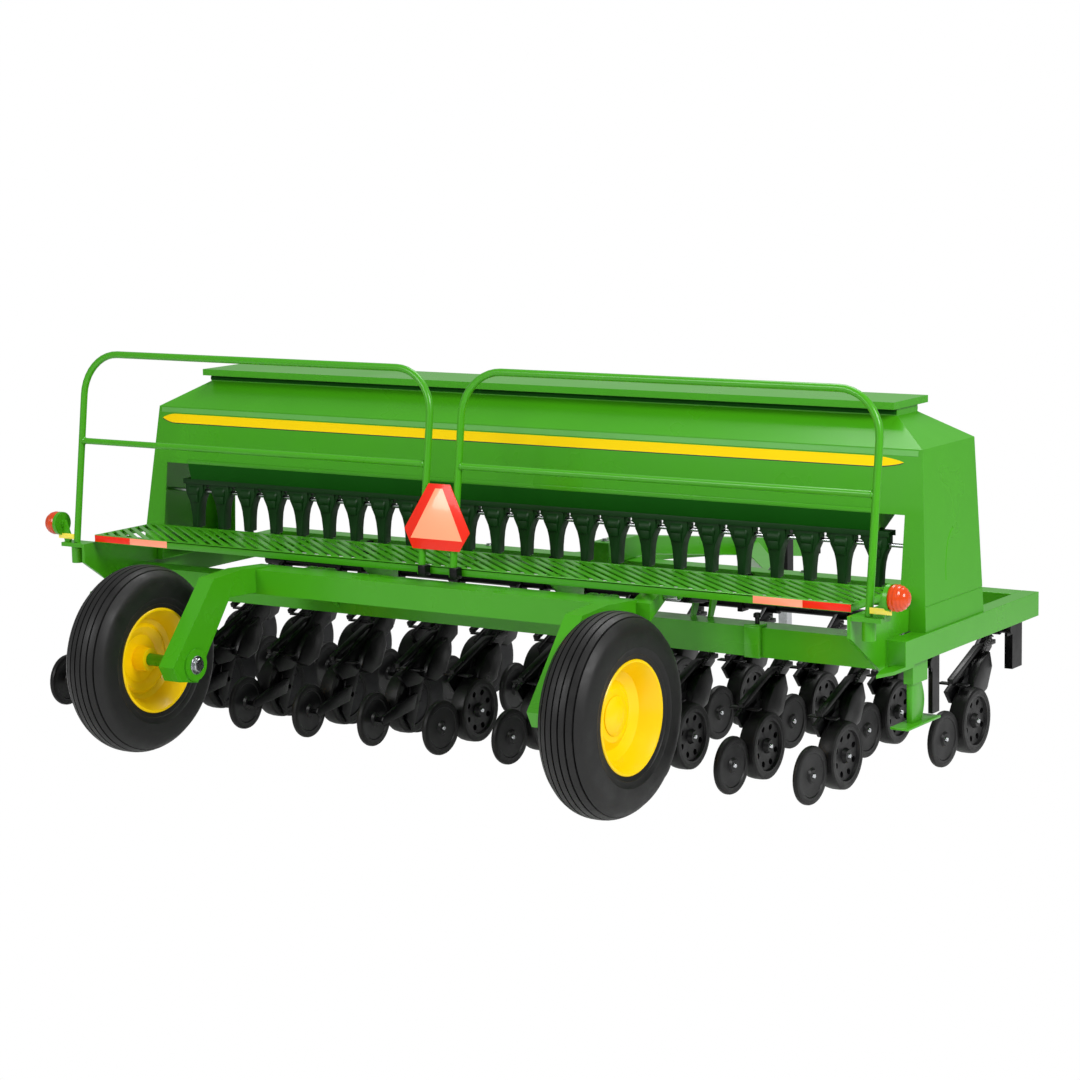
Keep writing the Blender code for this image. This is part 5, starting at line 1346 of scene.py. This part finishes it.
# ---- Openers ----------------------------------------------------------------------------------
@dataclass
class Opener:
    """One row unit about its pivot, for either hand: arm, link, boot, blade and its two wheels."""

    arm_width: float = 0.034
    gauge: Pair = (-0.350, -0.426)
    gauge_radius: float = 0.171
    gauge_width: float = 0.090
    gauge_band: float = 0.030
    closing: Pair = (-0.660, -0.464)
    closing_radius: float = 0.145
    closing_width: float = 0.030
    closing_band: float = 0.022
    toe: float = math.radians(3.0)
    blade: Pair = (-0.290, -0.405)
    blade_radius: float = 0.200
    hole_count: int = 8
    hole_circle: float = 0.68
    hole_size: float = 0.115
    boss_radii: Pair = (0.0295, 0.0385)
    boss_reach: float = 0.088
    spring_turns: int = 7
    coil_points: int = 8
    spring_wire: float = 0.0035
    blade_tilt: float = math.radians(4)
    blade_web: float = 0.0026

    def arm_x(self, hand: int) -> float:
        """X of the arm's middle from the gauge wheel's, for a hand."""
        return -hand * (self.gauge_width / 2 + self.arm_width / 2)

    def wheel(self, name: str, radius: float, width: float, band: float, holes: int) -> bpy.types.Object:
        """A small wheel about the origin: a rubber band on a nylon disc with a ring of holes.

        Args:
            name: The piece's name.
            radius: The band's outer radius.
            width: The band's width.
            band: The band's thickness.
            holes: Number of holes.

        Returns:
            The wheel, with its two finishes.
        """
        half, inner = width / 2, radius - band
        crown = [(-half, inner), (-half, radius - 0.012), (-half * 0.86, radius - 0.003),
                 (-half * 0.4, radius), (half * 0.4, radius), (half * 0.86, radius - 0.003),
                 (half, radius - 0.012), (half, inner)]
        tyre = Bench.paint(Bench.lathe(name + "_band", crown, (0, 0, 0), 40), BAND_RUBBER)
        web = half * 0.55
        face = [(-web, 0.012), (-half - 0.004, 0.014), (-half - 0.004, 0.030), (-web * 1.1, 0.040),
                (-web, inner * 0.58), (-web * 1.2, inner * 0.86), (-half * 0.96, inner * 0.90),
                (-half * 0.98, inner - 0.0004), (half * 0.98, inner - 0.0004), (half * 0.96, inner * 0.90),
                (web * 1.2, inner * 0.86), (web, inner * 0.58), (web * 1.1, 0.040), (half + 0.004, 0.030),
                (half + 0.004, 0.014), (web, 0.012)]
        disc = Bench.lathe(name + "_disc", face, (0, 0, 0), 40)
        drills = []
        circle = inner * self.hole_circle
        for index in range(holes):
            angle = math.tau * (index + 0.5) / holes
            y, z = circle * math.cos(angle), circle * math.sin(angle)
            drills.append(Bench.pin("drill", (-width, y, z), (width, y, z), inner * self.hole_size, 10, 0.0))
        if drills:
            Bench.cut(disc, Bench.join("drill", *drills))
        Bench.paint(Bench.soften(disc, 0.0), NYLON_WHEEL)
        nut = Bench.pin(name + "_nut", (-half - 0.012, 0, 0), (half + 0.012, 0, 0), 0.012, 6)
        Bench.paint(nut, ZINC_PLATE)
        return Bench.join(name, disc, tyre, nut)

    def frame(self, hand: int) -> bpy.types.Object:
        """The unit's arm with its cap, boss, gauge arm, rear arm, boot, seed socket, depth handle, scraper
        hood, axles and spring.

        Args:
            hand: 1 for units on the right half of the machine and -1 for the left.

        Returns:
            The frame about the pivot.
        """
        gauge_y, gauge_z = self.gauge
        closing_y, closing_z = self.closing
        blade_y, blade_z = self.blade
        arm_x, half = self.arm_x(hand), self.arm_width / 2

        def slab(name: str, outline: list[Pair], start: float, end: float, bevel: float = 0.004,
                 ) -> bpy.types.Object:
            """A plate between two distances from the arm's middle, measured towards the wheel."""
            low, high = sorted((arm_x + hand * start, arm_x + hand * end))
            return Bench.plate(name, outline, Axis.X, low, high, bevel)

        plate = slab("arm", [(0.036, 0.0), (0.030, -0.115), (-0.100, -0.190),
                             (gauge_y + 0.02, gauge_z + 0.10), (gauge_y - 0.10, gauge_z + 0.10),
                             (gauge_y - 0.16, gauge_z + 0.17), (-0.190, -0.110), (-0.036, 0.0)],
                     -half + 0.006, half - 0.004)
        cap = slab("arm_cap", [(0.020, -0.092), (0.020, -0.068), (-0.190, -0.068),
                               (gauge_y - 0.15, gauge_z + 0.235), (gauge_y - 0.14, gauge_z + 0.210),
                               (-0.184, -0.092)], half - 0.012, half + 0.022)
        outer, inner = arm_x - hand * (half - 0.0005), arm_x + hand * (self.boss_reach - half)
        bore, rim = self.boss_radii
        boss = Bench.lathe("boss", [(outer, bore), (outer, rim), (inner, rim), (inner, bore)], (0, 0, 0), 28)
        rear = slab("rear_arm", [(blade_y - 0.07, blade_z + 0.03), (blade_y - 0.14, blade_z + 0.03),
                                 (closing_y - 0.010, closing_z + 0.024), (closing_y - 0.024, closing_z),
                                 (closing_y, closing_z - 0.024), (blade_y - 0.10, blade_z - 0.05)],
                    -half + 0.004, half - 0.012)
        boot = slab("boot", [(blade_y + 0.04, blade_z + 0.16), (blade_y - 0.10, blade_z + 0.14),
                             (blade_y - 0.15, blade_z - 0.10),
                             (blade_y - 0.10, blade_z - self.blade_radius * 0.86)], 0.0, half + 0.006)
        socket_x = arm_x + hand * (half * 0.4)
        socket_path = [(socket_x, blade_y + ahead, blade_z + up)
                       for ahead, up in ((-0.02, 0.13), (-0.01, 0.19), (0.01, 0.235))]
        socket = Bench.pipe("seed_socket", socket_path, 0.017, 2)
        handle_y, handle_z = gauge_y - 0.055, gauge_z + 0.192
        handle = Bench.block("depth_handle", (arm_x - 0.080, handle_y - 0.022, handle_z - 0.005),
                             (arm_x + 0.080, handle_y + 0.022, handle_z + 0.005), 0.003)
        hood = slab("scraper_hood", [(-0.110, -0.105), (-0.080, -0.190), (-0.140, -0.300), (-0.230, -0.330),
                                     (-0.330, -0.285), (-0.300, -0.225), (-0.230, -0.150)],
                    -half - 0.030, half + 0.052, 0.010)
        stem = Bench.pipe("depth_stem", [(arm_x, handle_y + 0.01, handle_z - 0.05),
                                         (arm_x, handle_y, handle_z)], 0.007, 2)
        axle = Bench.pin("closing_axle", (arm_x, closing_y, closing_z), (0, closing_y, closing_z), 0.014, 12)
        gauge_axle = Bench.pin("gauge_axle", (arm_x, gauge_y, gauge_z), (0, gauge_y, gauge_z), 0.016, 12)
        spindle_arm = slab("gauge_arm", [(gauge_y + 0.022, gauge_z - 0.018), (gauge_y + 0.03, gauge_z + 0.11),
                                         (gauge_y - 0.03, gauge_z + 0.11),
                                         (gauge_y - 0.022, gauge_z - 0.018)], half - 0.006, half - 0.0005)
        spring = self.spring(arm_x + hand * (half + 0.030))
        unit = Bench.join("opener_frame", plate, cap, boss, rear, boot, socket, handle, hood, stem, axle,
                          gauge_axle, spindle_arm, spring)
        return Bench.paint(unit, BLACK_PAINT)

    def spring(self, x: float) -> bpy.types.Object:
        """The down-pressure spring beside the arm.

        Args:
            x: X of the spring's middle.

        Returns:
            The spring.
        """
        count = self.spring_turns * self.coil_points
        coils = []
        for step in range(count + 1):
            angle, share = math.tau * step / self.coil_points, step / count
            coils.append((x + 0.012 * math.cos(angle), -0.060 - 0.110 * share + 0.010 * math.sin(angle),
                          -0.040 - 0.062 * share + 0.006 * math.sin(angle)))
        return Bench.pipe("spring", coils, self.spring_wire, 1)

    def disc(self, hand: int) -> bpy.types.Object:
        """The blade with its ground edge and hub.

        Args:
            hand: 1 for the right half of the machine and -1 for the left.

        Returns:
            The blade about the pivot.
        """
        rim, web = self.blade_radius - 0.001, self.blade_web
        half = [(0.016, 0.0), (0.016, 0.030), (web, 0.036), (web, rim - 0.022), (0.0004, rim)]
        profile = [(-along, radius) for along, radius in half] + half[::-1]
        blade = Bench.lathe("seed_disc", profile, (0, 0, 0), 48)
        x = self.arm_x(hand) + hand * (self.arm_width / 2 + 0.010)
        blade.data.transform(Matrix.Translation((x, *self.blade))
                             @ Matrix.Rotation(hand * self.blade_tilt, 4, "Z"))
        return Bench.paint(blade, BLADE_STEEL)

    def build(self) -> None:
        """Make one unit of each hand, and copy it to every opener body."""
        gauge = self.wheel("gauge_wheel", self.gauge_radius - 0.0005, self.gauge_width, self.gauge_band,
                           self.hole_count)
        closing = self.wheel("closing_wheel", self.closing_radius - 0.0005, self.closing_width,
                             self.closing_band, 0)
        patterns = {}
        for hand in (-1, 1):
            blade = self.disc(hand)
            body = Bench.join(f"opener_frame_{hand}", self.frame(hand), blade)
            press = Bench.copy(closing, f"closing_{hand}", Matrix.Translation((0, *self.closing))
                               @ Matrix.Rotation(-hand * self.toe, 4, "Z"))
            roll = Bench.copy(gauge, f"gauge_{hand}", Matrix.Translation((0, *self.gauge)))
            patterns[hand] = (("opener_frame", body), ("gauge_wheel", roll), ("closing_wheel", press))
        for name, joint in JOINTS.items():
            if not name.endswith("_float"):
                continue
            node = name.removesuffix("_float")
            place = Matrix.Translation(joint["pos_m"])
            hand = -1 if joint["pos_m"][0] < -0.01 else 1
            for part, pattern in patterns[hand]:
                piece = Bench.copy(pattern, f"{node}_{part}", place)
                if part == "opener_frame":
                    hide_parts(node)
                Bench.mount(piece, joint["child"], "black_paint")
        for pattern in [gauge, closing] + [piece for parts in patterns.values() for _, piece in parts]:
            bpy.data.objects.remove(pattern)


def main() -> None:
    """Build every sub-assembly in order, and report each."""
    logging.basicConfig(level=logging.INFO, format="%(message)s")
    studio = Studio()
    studio.camera()
    studio.floor()
    studio.light()
    chassis = Chassis()
    steps: list[tuple[str, Callable[[], None]]] = [
        ("structure", chassis.skins), ("bolts", chassis.bolts), ("axle caps", chassis.axle_caps),
        ("clamp", chassis.clamp), ("grain box", GrainBox().build), ("seed cups", SeedCups().build),
        ("walkboard", Walkboard().build), ("sign", VehicleSign().build), ("openers", Opener().build)]
    for side in Side:
        steps += [(f"{side.word} stand", lambda side=side: chassis.stand(side)),
                  (f"{side.word} guard rail", GuardRail(side).build),
                  (f"{side.word} lamp", MarkerLamp(side).build),
                  (f"{side.word} wheel", TransportWheel(side).build)]
    for word, step in steps:
        step()
        log.info("built the %s", word)


if __name__ == "__main__":
    main()
